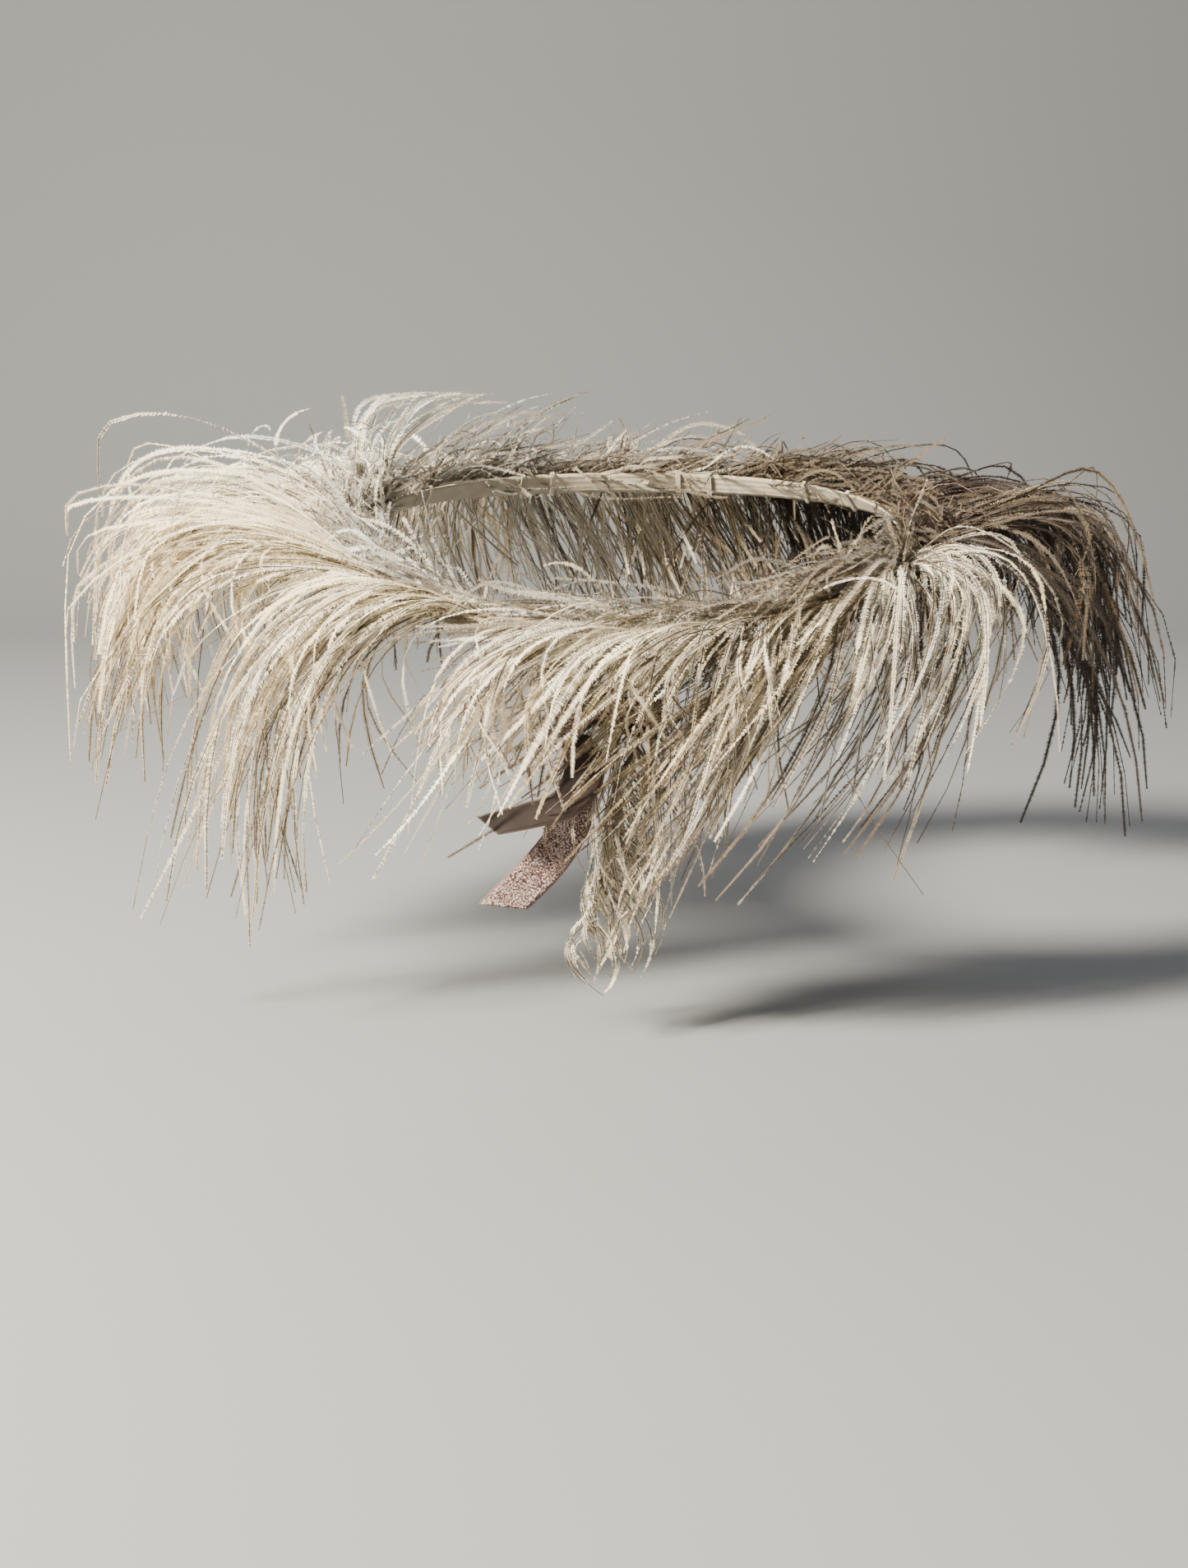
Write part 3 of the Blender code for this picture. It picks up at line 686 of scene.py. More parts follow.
def grow_plume(index, name):
    """The outer vane of one plume."""
    butt, tip, tint, brown_and_painted_shade, crest_sweep, tip_sweep, arch, fan = PLUMES[name]
    rng = np.random.default_rng(100 + index)
    lines, lock, loose, ply = outer_barbs(rng, butt, tip, crest_sweep, tip_sweep, arch, fan)
    lines = fit_in_box(clear_neck(lines, 0.95))
    count = len(lines)
    t = np.linspace(0, 1, POINTS)
    looks = {
        "tint": np.clip(tint + rng.normal(0, 0.14, LOCKS)[lock] + rng.normal(0, 0.12, count), 0, 1),
        # Painted shade: lower layers (low ply) are made darker, on top of the plume's own brown and
        # painted shade.
        "brown_and_painted_shade": np.clip(brown_and_painted_shade + 0.45 * (ply - 0.5) + rng.normal(0, 0.17, count), 0, 1),
        "fluff": np.clip(rng.normal(1.0, 0.16, count) - 0.3 * loose, 0.4, 1.4),
        "twist": rng.normal(0, 0.6, count)[:, None] + waves(rng, count, t, 0.9, 0.5)[..., 0],
    }
    dress("barbs_" + name + "_outer", "plume_" + name, lines, looks,
          ["vane_" + name + "_outer"], seed=index)


def grow_down(index, name):
    """The down on the neck side of one plume; it varies less in brown and painted shade than the long
    barbs.
    """
    butt, tip, _, brown_and_painted_shade = PLUMES[name][:4]
    count, height, length, tint, fringe = DOWN[name]
    rng = np.random.default_rng(200 + index)
    lines = neck_barbs(rng, butt, tip, count, height, length)
    lines = fit_in_box(clear_neck(lines, 0.84))
    looks = {
        "tint": np.clip(rng.normal(tint, 0.14, count), 0, 1),
        # Brown and painted shade taken from the plume, squeezed towards the middle.
        "brown_and_painted_shade": np.clip(0.2 + 0.42 * brown_and_painted_shade + rng.normal(0.0, 0.1, count), 0, 1),
        "fluff": np.clip(rng.normal(1.0, 0.2, count), 0.4, 1.4),
        "twist": rng.normal(0, 0.8, count),
    }
    dress("barbs_" + name + "_neck", "plume_" + name, lines, looks,
          ["vane_" + name + "_neck"], length=fringe, stem=0.24, seed=50 + index)


for index, name in enumerate(PLUMES):
    grow_plume(index, name)
    grow_down(index, name)


# %% [markdown]
# ## Loose plumage that gives the boa its character
# A dark whorl on the wearer's left shoulder, curls on the right one, wisps that stand up behind it
# and a few pale barbs that hang in front of the ties.  Each set is coils round a centre, or a few
# given curves with some scatter, and rides with the plume that it grows from.

# %% Whorl, curls, wisps and strays
def ringlets(rng, centre, spread, radius, turns, count, drift):
    """Loose coils round a centre: each barb winds inwards and is carried along by drift."""
    t = np.linspace(0, 1, POINTS)
    start = rng.uniform(0, 2 * np.pi, (count, 1))
    way = np.where(rng.uniform(0, 1, (count, 1)) < 0.7, 1.0, -1.0)
    wind = start + way * t * 2 * np.pi * rng.uniform(turns[0], turns[1], (count, 1))
    reach = rng.uniform(radius[0], radius[1], (count, 1)) * (1.1 - 0.75 * t)
    tilt = unit(rng.normal(0, 1, (count, 1, 3)) * (0.5, 0.35, 0.5) + (0.1, -1.0, 0.5))
    first = unit(np.cross(tilt, UP))
    second = np.cross(tilt, first)
    hub = np.array(centre) + rng.normal(0, 1, (count, 1, 3)) * np.array(spread)
    lines = hub + first * (np.cos(wind) * reach)[..., None] + second * (np.sin(wind) * reach)[..., None]
    return lines + np.array(drift) * t[None, :, None] ** 1.5


def strands(rng, curve, scatter, count):
    """`count` barbs that follow one given curve, scattered more towards the tip."""
    t = np.linspace(0, 1, POINTS)
    controls = [np.array(p) + rng.normal(0, 1, (count, 3)) * scatter * k / (len(curve) - 1)
                for k, p in enumerate(curve)]
    return bezier(controls, t) + waves(rng, count, t, 2.5 * MM, 1.0)


def plain_looks(rng, count, tint, brown_and_painted_shade, fluff=1.0):
    """Values for a set of barbs that has no locks."""
    return {"tint": np.clip(rng.normal(tint, 0.10, count), 0, 1),
            "brown_and_painted_shade": np.clip(rng.normal(brown_and_painted_shade, 0.12, count), 0, 1),
            "fluff": np.clip(rng.normal(fluff, 0.15, count), 0.3, 1.4),
            "twist": rng.normal(0, 0.6, count)}


rng = np.random.default_rng(41)
whorl = ringlets(rng, (0.210, -0.026, 0.010), (0.014, 0.013, 0.011), (0.010, 0.028), (0.6, 1.2), 70,
                 (0.010, -0.004, -0.020))
# Its low brown-and-shade value makes it dark: partly real grey brown, partly shade painted like that of
# its plume, away from the key lamp.
dress("whorl_left_shoulder", "plume_right_shoulder", fit_in_box(clear_neck(whorl, 0.96)),
      plain_looks(rng, 70, 0.6, 0.06, 0.6), [], length=1.9, stem=0.36, seed=71)

curls = ringlets(rng, (-0.178, 0.004, 0.042), (0.020, 0.018, 0.012), (0.014, 0.030), (0.30, 0.65), 52,
                 (-0.006, 0.000, 0.008))
dress("curls_right_shoulder", "plume_left_shoulder", fit_in_box(clear_neck(curls, 0.90)),
      plain_looks(rng, 52, 0.15, 0.85, 0.8), [], length=2.2, stem=0.3, seed=72)

wisps = np.concatenate([
    strands(rng, [(-0.158, 0.030, 0.022), (-0.178, 0.040, 0.062), (-0.158, 0.070, 0.096),
                  (-0.132, 0.100, 0.108)], 0.013, 13),
    strands(rng, [(-0.150, 0.040, 0.024), (-0.160, 0.055, 0.060), (-0.130, 0.085, 0.088),
                  (-0.090, 0.110, 0.102)], 0.013, 13),
    strands(rng, [(-0.146, 0.048, 0.026), (-0.140, 0.065, 0.052), (-0.105, 0.095, 0.074),
                  (-0.055, 0.112, 0.084)], 0.012, 9)])
dress("wisps_behind_right_shoulder", "plume_left_shoulder", fit_in_box(clear_neck(wisps, 0.90)),
      plain_looks(rng, len(wisps), 0.15, 0.75), [], length=2.6, stem=0.26, seed=73)

hanging = np.concatenate([
    strands(rng, [(-0.062, -0.130, -0.036), (-0.072, -0.172, -0.040), (-0.060, -0.176, -0.100),
                  (-0.082, -0.172, -0.150)], 0.004, 2),
    strands(rng, [(-0.050, -0.132, -0.036), (-0.070, -0.175, -0.060), (-0.100, -0.176, -0.120),
                  (-0.135, -0.165, -0.168)], 0.010, 5)])
dress("barbs_hanging_over_ties", "plume_centre_front", fit_in_box(hanging),
      plain_looks(rng, len(hanging), 0.2, 1.0), [], stem=0.22, seed=74)


# %% [markdown]
# ## The drop plume
# A ninth, shorter plume hangs by its butt from the throat, behind the ribbon tails.  Its barbs leave
# both sides of the quill and hang in locks that split at the bottom.

# %% Drop plume
DROP_QUILL = [(0.0140, -0.1395, -0.0520), (0.0170, -0.1425, -0.0950), (0.0080, -0.1460, -0.1500),
              (-0.0160, -0.1490, -0.2150)]


def read_bezier(controls, t):
    """Points at `t` on one Bezier curve."""
    return bezier([np.array([p], float) for p in controls], np.asarray(t, float))[0]


DROP_LOCKS, DROP_PER_LOCK = 6, 17
DROP_LONGEST, DROP_SHORTENING = 0.112, 0.074
DROP_HOOK = 8 * MM


def drop_barbs(rng, side):
    """Barbs of one side of the drop plume; side is -1 or 1, and they get shorter to its tip."""
    count = DROP_LOCKS * DROP_PER_LOCK
    lock = np.repeat(np.arange(DROP_LOCKS), DROP_PER_LOCK)
    s = np.clip((lock + rng.uniform(-0.2, 1.2, count)) / DROP_LOCKS, 0, 1) * 0.94 + 0.05
    t = np.linspace(0, 1, POINTS)
    root = read_bezier(DROP_QUILL, s)
    size = (DROP_LONGEST - DROP_SHORTENING * s) * rng.uniform(0.85, 1.15, DROP_LOCKS)[lock] \
        * rng.uniform(0.45, 1.1, count)
    reach = side * rng.uniform(0.0, 0.42, DROP_LOCKS)[lock] + rng.normal(0, 0.17, count)
    forward = rng.uniform(-0.30, 0.12, count)
    down = np.ones(count)
    aim = unit(np.stack([reach, forward, -down], -1))
    leave = root + unit(np.stack([side * 0.7 * down, forward - 0.15, -0.75 * down], -1)) \
        * (size * 0.30)[:, None]
    tip = root + aim * size[:, None] + rng.normal(0, 3 * MM, (count, 3))
    bend = leave * 0.35 + tip * 0.65 + np.stack([side * 0.010 * down, forward * 0.01,
                                                 0.012 * down], -1)
    lines = bezier([root, leave, bend, tip], t)
    lines = lines + waves(rng, DROP_LOCKS, t, 3 * MM, 1.1)[lock]
    lines = lines + waves(rng, count, t, 2.2 * MM, 1.0, 0.8, 2.4)
    hook = np.clip((t - 0.7) / 0.3, 0, 1)[None, :, None] ** 2
    curl = rng.normal(-0.2 * side, 0.5, (count, 1, 1)) * np.array((1.0, 0.2, 0.0))
    return lines + hook * curl * DROP_HOOK


for side, word in ((-1, "left"), (1, "right")):
    rng = np.random.default_rng(60 + side)
    lines = fit_in_box(drop_barbs(rng, side))
    dress("barbs_centre_drop_" + word, "plume_centre_drop", lines,
          plain_looks(rng, len(lines), 0.4, 0.74), ["vane_centre_drop_" + word],
          length=1.9, stem=0.4, seed=80 + side)


# %% [markdown]
# ## Horn, thread and cloth finishes
# Quills are horn: slightly see-through keratin with a soft polish and darker streaks.  The tape is
# unbleached cotton in a herringbone weave.  Bindings are two-ply cotton thread.  The ribbon has a
# cut silk pile on its face, whose specks of caught light and shade are painted into its colour, a
# ribbed satin back and woven edges.

# %% Finishes for the hard and woven parts
def uv_parts(tree):
    """U across and V along a piece, both in metres."""
    coords = node(tree, "ShaderNodeTexCoord").outputs["UV"]
    return node(tree, "ShaderNodeSeparateXYZ", {"Vector": coords}).outputs


def sine_of(tree, value, period):
    """A wave between -1 and 1 that repeats every `period` metres of `value`."""
    scaled = node(tree, "ShaderNodeMath", {0: value}, operation="MULTIPLY")
    scaled.inputs[1].default_value = 2 * math.pi / period
    return node(tree, "ShaderNodeMath", {0: scaled.outputs[0]}, operation="SINE").outputs[0]


def speckle(tree, size, detail=3.0):
    """Noise in object space whose grains are about `size` metres."""
    coords = node(tree, "ShaderNodeTexCoord").outputs["Object"]
    return node(tree, "ShaderNodeTexNoise", {"Vector": coords}, Scale=1.0 / size,
                Detail=detail).outputs[0]


def bumped(tree, height, depth):
    """A normal for relief `depth` metres deep."""
    return node(tree, "ShaderNodeBump", {"Height": height}, Distance=depth,
                Strength=1.0).outputs[0]


def horn():
    """Pinkish cream horn, streaked every few millimetres."""
    mat, tree, out = new_material("quill_horn")
    streak = speckle(tree, 2.5 * MM)
    colour = ramp(tree, streak, [(0.30, "#C9AE94"), (0.55, "#DCC8A8"), (0.75, "#EBDDC4")])
    body = node(tree, "ShaderNodeBsdfPrincipled", {"Base__Color": colour}, Roughness=0.38,
                IOR=1.54, Subsurface__Weight=0.2, Subsurface__Scale=0.001, Coat__Weight=0.3,
                Coat__Roughness=0.25)
    tree.links.new(body.outputs[0], out.inputs["Surface"])
    return mat


def herringbone_cotton():
    """Rows 2 mm wide lean one way, then the other; single threads are drawn 0.7 mm apart."""
    mat, tree, out = new_material("cotton_herringbone_tape")
    uv = uv_parts(tree)
    fold = node(tree, "ShaderNodeMath", {0: uv[0]}, operation="PINGPONG")
    fold.inputs[1].default_value = 2 * MM
    slant = node(tree, "ShaderNodeMath", {0: fold.outputs[0], 1: uv[1]}, operation="ADD").outputs[0]
    thread = sine_of(tree, slant, 0.7 * MM)
    wear = speckle(tree, 9 * MM)
    colour = ramp(tree, wear, [(0.3, "#C8B898"), (0.6, "#D9CDB3"), (0.8, "#E4DAC4")])
    body = node(tree, "ShaderNodeBsdfPrincipled",
                {"Base__Color": colour, "Normal": bumped(tree, thread, 0.25 * MM)}, Roughness=0.9,
                Sheen__Weight=0.3, Sheen__Roughness=0.5)
    tree.links.new(body.outputs[0], out.inputs["Surface"])
    return mat


def cotton_thread():
    """Two plies twisted together, one turn every 1.2 mm."""
    mat, tree, out = new_material("cotton_binding_thread")
    uv = uv_parts(tree)
    slant = node(tree, "ShaderNodeMath", {0: uv[0], 1: uv[1]}, operation="ADD").outputs[0]
    ply = sine_of(tree, slant, 0.6 * MM)
    colour = ramp(tree, speckle(tree, 4 * MM), [(0.3, "#CFC2A8"), (0.7, "#EDE5D2")])
    body = node(tree, "ShaderNodeBsdfPrincipled",
                {"Base__Color": colour, "Normal": bumped(tree, ply, 0.12 * MM)}, Roughness=0.75,
                Sheen__Weight=0.2, Sheen__Roughness=0.4)
    tree.links.new(body.outputs[0], out.inputs["Surface"])
    return mat


def selvedged(tree, colour, woven):
    """Mix a tighter woven edge, about 1 mm wide, into a ribbon's colour."""
    gap = node(tree, "ShaderNodeAttribute", attribute_name="edge_gap").outputs["Fac"]
    inside = node(tree, "ShaderNodeMapRange", {"Value": gap}, From__Min=0.7 * MM,
                  From__Max=1.3 * MM).outputs[0]
    edge = node(tree, "ShaderNodeRGB")
    edge.outputs[0].default_value = linear(woven)
    return node(tree, "ShaderNodeMix", {0: inside, 6: edge.outputs[0], 7: colour},
                data_type="RGBA").outputs[2]


def silk_velvet():
    """Dusty pink pile with painted sheen: light and dark specks where tufts would catch light, drawn 1
    mm wide to show, and broader painted light and shade where the pile is crushed here and there.
    """
    mat, tree, out = new_material("silk_velvet_pile")
    pile = speckle(tree, 1.0 * MM, 2.0)
    crushed_pile_sheen = speckle(tree, 9 * MM)
    painted_pile_sheen = node(tree, "ShaderNodeMix", {2: pile, 3: crushed_pile_sheen}, data_type="FLOAT", Factor=0.22).outputs[0]
    # Painted sheen: the pile's specks run from near black to pale pink, light and shade painted over
    # the dusty pink.
    colour = ramp(tree, painted_pile_sheen, [(0.38, "#3A2724"), (0.46, "#6C534F"), (0.53, "#967F79"),
                              (0.60, "#CDBCB6")])
    colour = selvedged(tree, colour, "#7B625A")
    body = node(tree, "ShaderNodeBsdfPrincipled",
                {"Base__Color": colour, "Normal": bumped(tree, pile, 0.5 * MM)}, Roughness=0.95,
                Sheen__Weight=0.8, Sheen__Roughness=0.35, Specular__IOR__Level=0.1)
    tree.links.new(body.outputs[0], out.inputs["Surface"])
    return mat


def satin_back():
    """Warp-faced satin: a soft gloss broken by weft ribs, drawn 0.6 mm apart."""
    mat, tree, out = new_material("satin_ribbon_back")
    uv = uv_parts(tree)
    rib = sine_of(tree, uv[1], 0.6 * MM)
    colour = ramp(tree, speckle(tree, 12 * MM), [(0.3, "#1E1310"), (0.55, "#2D1E19"),
                                                 (0.8, "#40302A")])
    colour = selvedged(tree, colour, "#5E483D")
    body = node(tree, "ShaderNodeBsdfPrincipled",
                {"Base__Color": colour, "Normal": bumped(tree, rib, 0.16 * MM)}, Roughness=0.5,
                Sheen__Weight=0.25, Sheen__Roughness=0.3)
    tree.links.new(body.outputs[0], out.inputs["Surface"])
    return mat


HORN = horn()
TAPE_COTTON = herringbone_cotton()
THREAD = cotton_thread()
VELVET = silk_velvet()
SATIN = satin_back()
print("finishes:", ", ".join(m.name for m in (HORN, TAPE_COTTON, THREAD, VELVET, SATIN)))


# %% [markdown]
# ## Quills and bindings
# Tubes are swept ring by ring, so that each has a UV map in metres and closed, rounded ends.

# %% Tubes
AROUND = 2 * MM             # once round a tube in its UV map


def sweep(points, radii, sides=10, closed=False):
    """Rings of vertices round a line; returns verts, faces and a UV for every vertex."""
    points = np.asarray(points, float)
    if closed:
        ahead, behind = np.roll(points, -1, 0), np.roll(points, 1, 0)
    else:
        ahead = np.vstack([points[1:], points[-1:] * 2 - points[-2:-1]])
        behind = np.vstack([points[:1] * 2 - points[1:2], points[:-1]])
    tangent = unit(ahead - behind)
    guide = unit(np.cross(tangent[0], (0.31, 0.52, 0.79)))
    carried = []
    for t in tangent:
        guide = unit(guide - t * (guide * t).sum())
        carried.append(guide)
    side = np.array(carried)
    other = np.cross(tangent, side)
    turn = np.linspace(0, 2 * np.pi, sides, endpoint=False)
    radii = np.asarray(radii, float)[:, None, None]
    rings = points[:, None] + radii * (side[:, None] * np.cos(turn)[None, :, None]
                                       + other[:, None] * np.sin(turn)[None, :, None])
    n = len(points)
    faces = [(i * sides + j, i * sides + (j + 1) % sides, (i + 1) % n * sides + (j + 1) % sides,
              (i + 1) % n * sides + j) for i in range(n if closed else n - 1) for j in range(sides)]
    length = np.concatenate([[0], np.cumsum(np.linalg.norm(np.diff(points, axis=0), axis=1))])
    uv = np.stack([np.broadcast_to(turn / (2 * np.pi) * AROUND, (n, sides)),
                   np.broadcast_to(length[:, None], (n, sides))], -1).reshape(-1, 2)
    if not closed:
        faces += [tuple(range(sides))[::-1], tuple(range((n - 1) * sides, n * sides))]
    return rings.reshape(-1, 3), faces, uv


def round_ends(radii):
    """Shrink the first and last ring so that a swept rod ends in a soft dome."""
    radii = np.array(radii, float)
    radii[0] *= 0.45
    radii[-1] *= 0.3
    return radii


def join_pieces(name, parts, materials):
    """One mesh object from several (verts, faces, uv, material index) parts."""
    verts, faces, uvs, slots, base = [], [], [], [], 0
    for part_verts, part_faces, part_uv, slot in parts:
        verts.append(part_verts)
        faces += [tuple(base + i for i in f) for f in part_faces]
        slots += [slot] * len(part_faces)
        uvs.append(part_uv)
        base += len(part_verts)
    mesh = bpy.data.meshes.new(name)
    mesh.from_pydata(np.concatenate(verts).tolist(), [], faces)
    uvs = np.concatenate(uvs)
    loops = np.zeros(len(mesh.loops), np.int32)
    mesh.loops.foreach_get("vertex_index", loops)
    mesh.uv_layers.new(name="metres").data.foreach_set("uv", uvs[loops].astype(np.float32).ravel())
    for material in materials:
        mesh.materials.append(material)
    mesh.polygons.foreach_set("material_index", np.array(slots, np.int32))
    mesh.shade_smooth()
    bm = bmesh.new()
    bm.from_mesh(mesh)
    bmesh.ops.recalc_face_normals(bm, faces=bm.faces)
    bm.to_mesh(mesh)
    bm.free()
    obj = bpy.data.objects.new(name, mesh)
    bpy.context.collection.objects.link(obj)
    return obj


def make_quill(name, body, points, butt_r, tip_r):
    """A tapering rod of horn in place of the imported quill."""
    radii = round_ends(np.linspace(butt_r, tip_r, len(points)))
    obj = join_pieces(name + "_horn", [sweep(points, radii, 12) + (0,)], [HORN])
    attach(obj, body)
    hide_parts(name)


QUILL_BUTT_R, QUILL_TIP_R = 1.7 * MM, 1.1 * MM
DROP_BUTT_R, DROP_TIP_R = 1.3 * MM, 0.8 * MM
for name, (butt, tip, *_) in PLUMES.items():
    make_quill("quill_" + name, "plume_" + name, quill_line(np.linspace(butt, tip, 34)),
               QUILL_BUTT_R, QUILL_TIP_R)
make_quill("quill_centre_drop", "plume_centre_drop",
           read_bezier(DROP_QUILL, np.linspace(0, 1, 28)), DROP_BUTT_R, DROP_TIP_R)
print("quills:", len(PLUMES) + 1)

# %% Bindings
BIND_INSET = 1.6            # degrees in from each end of a plume
BIND_TURNS, TURN_STEP = 4, 0.26
BIND_HALF, BIND_BACK, BIND_CROWN = 8.7 * MM, 1.9 * MM, 6.0 * MM
SHOULDER = 1.5 * MM         # where a turn leaves the tape's edge for the quill
THREAD_R = 0.33 * MM


def thread_turns(rng, angle, radius):
    """Turns that pass under the tape, up round its edges and over the quill."""
    top = radius + 1.1 * MM
    outline = np.array([(-BIND_HALF, -BIND_BACK), (0, -BIND_BACK), (BIND_HALF, -BIND_BACK),
                        (BIND_HALF, SHOULDER), (top, BIND_CROWN), (0, BIND_CROWN + 0.2 * MM),
                        (-top, BIND_CROWN), (-BIND_HALF, SHOULDER)])
    steps = np.linspace(0, len(outline), 33)[:-1]
    k = steps.astype(int)
    parts = []
    for turn in range(BIND_TURNS):
        a = angle + (turn - (BIND_TURNS - 1) / 2) * TURN_STEP + rng.normal(0, 0.03)
        corners = outline * rng.uniform(0.97, 1.02)
        closed = np.vstack([corners, corners[:1]])
        flat = closed[k] * (1 - (steps - k))[:, None] + closed[k + 1] * (steps - k)[:, None]
        ring = neck(a) + across(np.array(a)) * flat[:, :1] + face_normal(np.array(a)) * flat[:, 1:]
        parts.append(sweep(ring, np.full(len(ring), THREAD_R), 6, closed=True) + (0,))
    return parts


def thread_knot(rng, angle):
    """Two cut ends and a small ball of thread on top of a binding."""
    w, n, run = across(np.array(angle)), face_normal(np.array(angle)), along_loop(angle)
    tie = neck(angle) + n * (BIND_CROWN + 0.5 * MM)
    parts = []
    for way in (-1, 1):
        end = tie + run * way * 5 * MM + w * rng.uniform(-3, 3) * MM + n * rng.uniform(0.5, 3) * MM
        line = read_bezier([tie, tie + n * 2.5 * MM, end], np.linspace(0, 1, 8))
        parts.append(sweep(line, round_ends(np.full(8, 0.3 * MM)), 6) + (0,))
    spin = np.linspace(0, 4 * np.pi, 26)[:, None]
    ball = tie + (run * np.cos(spin) + w * np.sin(spin)) * 0.7 * MM + n * (spin / 14 - 0.3) * MM
    parts.append(sweep(ball, round_ends(np.full(26, 0.4 * MM)), 6) + (0,))
    return parts


def register_thread(name, body, parts):
    obj = join_pieces(name + "_thread", parts, [THREAD])
    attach(obj, body)
    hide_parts(name)


def make_binding(name, body, angle, radius, seed):
    rng = np.random.default_rng(seed)
    turns = thread_turns(rng, angle, radius)
    register_thread(name, body, turns + thread_knot(rng, angle))


def make_drop_binding():
    """Five turns that tie the drop plume's butt, each a little askew."""
    rng = np.random.default_rng(340)
    count, radius, pitch, thread_r = 5, 2.1 * MM, 0.62 * MM, 0.34 * MM
    centre = read_bezier(DROP_QUILL, [0.03])[0]
    down = unit(read_bezier(DROP_QUILL, [0.08])[0] - read_bezier(DROP_QUILL, [0.0])[0])
    first = unit(np.cross(down, (0.0, 1.0, 0.0)))
    second = np.cross(down, first)
    spin = np.linspace(0, 2 * np.pi, 28, endpoint=False)[:, None]
    parts = []
    for turn in range(count):
        askew = rng.normal(0, 0.12) * MM * np.sin(spin)
        ring = centre + (first * np.cos(spin) + second * np.sin(spin)) * radius \
            + down * ((turn - (count - 1) / 2) * pitch + askew)
        parts.append(sweep(ring, np.full(len(ring), thread_r), 6, closed=True) + (0,))
    register_thread("binding_centre_drop", "right_wing", parts)


TAPE_OF = {"back_left": "nape", "back_centre": "nape", "back_right": "nape",
           "right_shoulder": "right_wing", "right_front": "right_wing",
           "centre_front": "right_wing", "left_front": "left_wing", "left_shoulder": "left_wing"}
for index, (name, (butt, tip, *_)) in enumerate(PLUMES.items()):
    make_binding(f"binding_{name}_butt", TAPE_OF[name], butt - BIND_INSET, QUILL_BUTT_R, 300 + index)
    make_binding(f"binding_{name}_tip", TAPE_OF[name], tip + BIND_INSET, QUILL_TIP_R, 320 + index)
make_drop_binding()
print("bindings:", 2 * len(PLUMES) + 1)


# %% [markdown]
# ## Tape and ribbon
# Both are strips of cloth: a grid is bent into place, given a front and a back about a millimetre
# apart, and a UV map in metres so that the weave keeps its real size.  `edge_gap` is how far a
# point is from the nearer selvedge.  The tape folds at two places behind the shoulders, and there
# a short strip is laid that rides on neither body.

# %% Cloth strips
def strip(name, grid, thick, materials):
    """Closed cloth strip from a (long, wide, 3) grid; materials are its front and its back.

    Returns the piece with the length and the area of the cloth.
    """
    nu, nv = grid.shape[:2]
    du = np.gradient(grid, axis=0)
    dv = np.gradient(grid, axis=1)
    normal = unit(np.cross(du, dv))
    u = np.concatenate([[0], np.cumsum(np.linalg.norm(np.diff(grid[:, nv // 2], axis=0), axis=1))])
    v = np.linalg.norm(grid - grid[:, :1], axis=-1)
    uv = np.stack([v, np.broadcast_to(u[:, None], v.shape)], -1).reshape(-1, 2)
    front = (grid + normal * thick / 2).reshape(-1, 3)
    back = (grid - normal * thick / 2).reshape(-1, 3)
    cell = [(i * nv + j, (i + 1) * nv + j, (i + 1) * nv + j + 1, i * nv + j + 1)
            for i in range(nu - 1) for j in range(nv - 1)]
    n = nu * nv
    rim = [i * nv for i in range(nu)] + [(nu - 1) * nv + j for j in range(1, nv)] \
        + [i * nv + nv - 1 for i in range(nu - 2, -1, -1)] + [j for j in range(nv - 2, 0, -1)]
    edge = [(a, b, b + n, a + n) for a, b in zip(rim, rim[1:] + rim[:1])]
    faces = cell + [tuple(i + n for i in f)[::-1] for f in cell] + edge
    verts = np.concatenate([front, back])
    obj = join_pieces(name, [(verts, faces, np.concatenate([uv, uv]), 0)], materials)
    gap = np.tile(np.minimum(v, v[:, -1:] - v).ravel(), 2).astype(np.float32)
    obj.data.attributes.new("edge_gap", "FLOAT", "POINT").data.foreach_set("value", gap)
    slots = [0] * len(cell) + [min(1, len(materials) - 1)] * len(cell) + [0] * len(edge)
    obj.data.polygons.foreach_set("material_index", np.array(slots, np.int32))
    area = np.linalg.norm(np.cross(du, dv), axis=-1).sum() * (nu - 1) * (nv - 1) / (nu * nv)
    print(f"{name}: {u[-1] * 1000:.0f} mm long, {area * 10000:.1f} square centimetres")
    return obj, float(u[-1]), float(area)


HINGE_RIGHT, HINGE_LEFT, FOLD_REACH = 40.0, 148.0, 4.0
TAPE_WIDE, TAPE_THICK = 15 * MM, 1.2 * MM


def tape_run(name, start, end, steps):
    """Tape along the loop between two angles, its edges pulled a little in and out."""
    a = np.linspace(start, end, steps)[:, None]
    v = np.linspace(-0.5, 0.5, 7)[None, :]
    rough = 0.25 * MM * np.sin(a * 1.7)
    grid = neck(a + 0 * v) + across(a + 0 * v) * (v * TAPE_WIDE + rough)[..., None]
    return strip(name, grid, TAPE_THICK, [TAPE_COTTON])


def declare_tape(node_name=None):
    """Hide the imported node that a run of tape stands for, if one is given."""
    if node_name:
        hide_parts(node_name)


for name, body, start, end, steps in (
        ("tape_back", "nape", HINGE_LEFT - FOLD_REACH, HINGE_RIGHT + FOLD_REACH, 60),
        ("tape_right", "right_wing", HINGE_RIGHT - FOLD_REACH, -101.0, 80),
        ("tape_left", "left_wing", 253.0, HINGE_LEFT + FOLD_REACH, 60)):
    obj, length, _ = tape_run(name + "_cloth", start, end, steps)
    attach(obj, body)
    declare_tape(name)
for name, body, hinge, way in (("tape_fold_right", "right_wing", HINGE_RIGHT, -1),
                               ("tape_fold_left", "left_wing", HINGE_LEFT, 1)):
    obj, length, _ = tape_run(name, hinge - way * FOLD_REACH, hinge + way * FOLD_REACH, 12)
    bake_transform(obj)
    declare_tape()

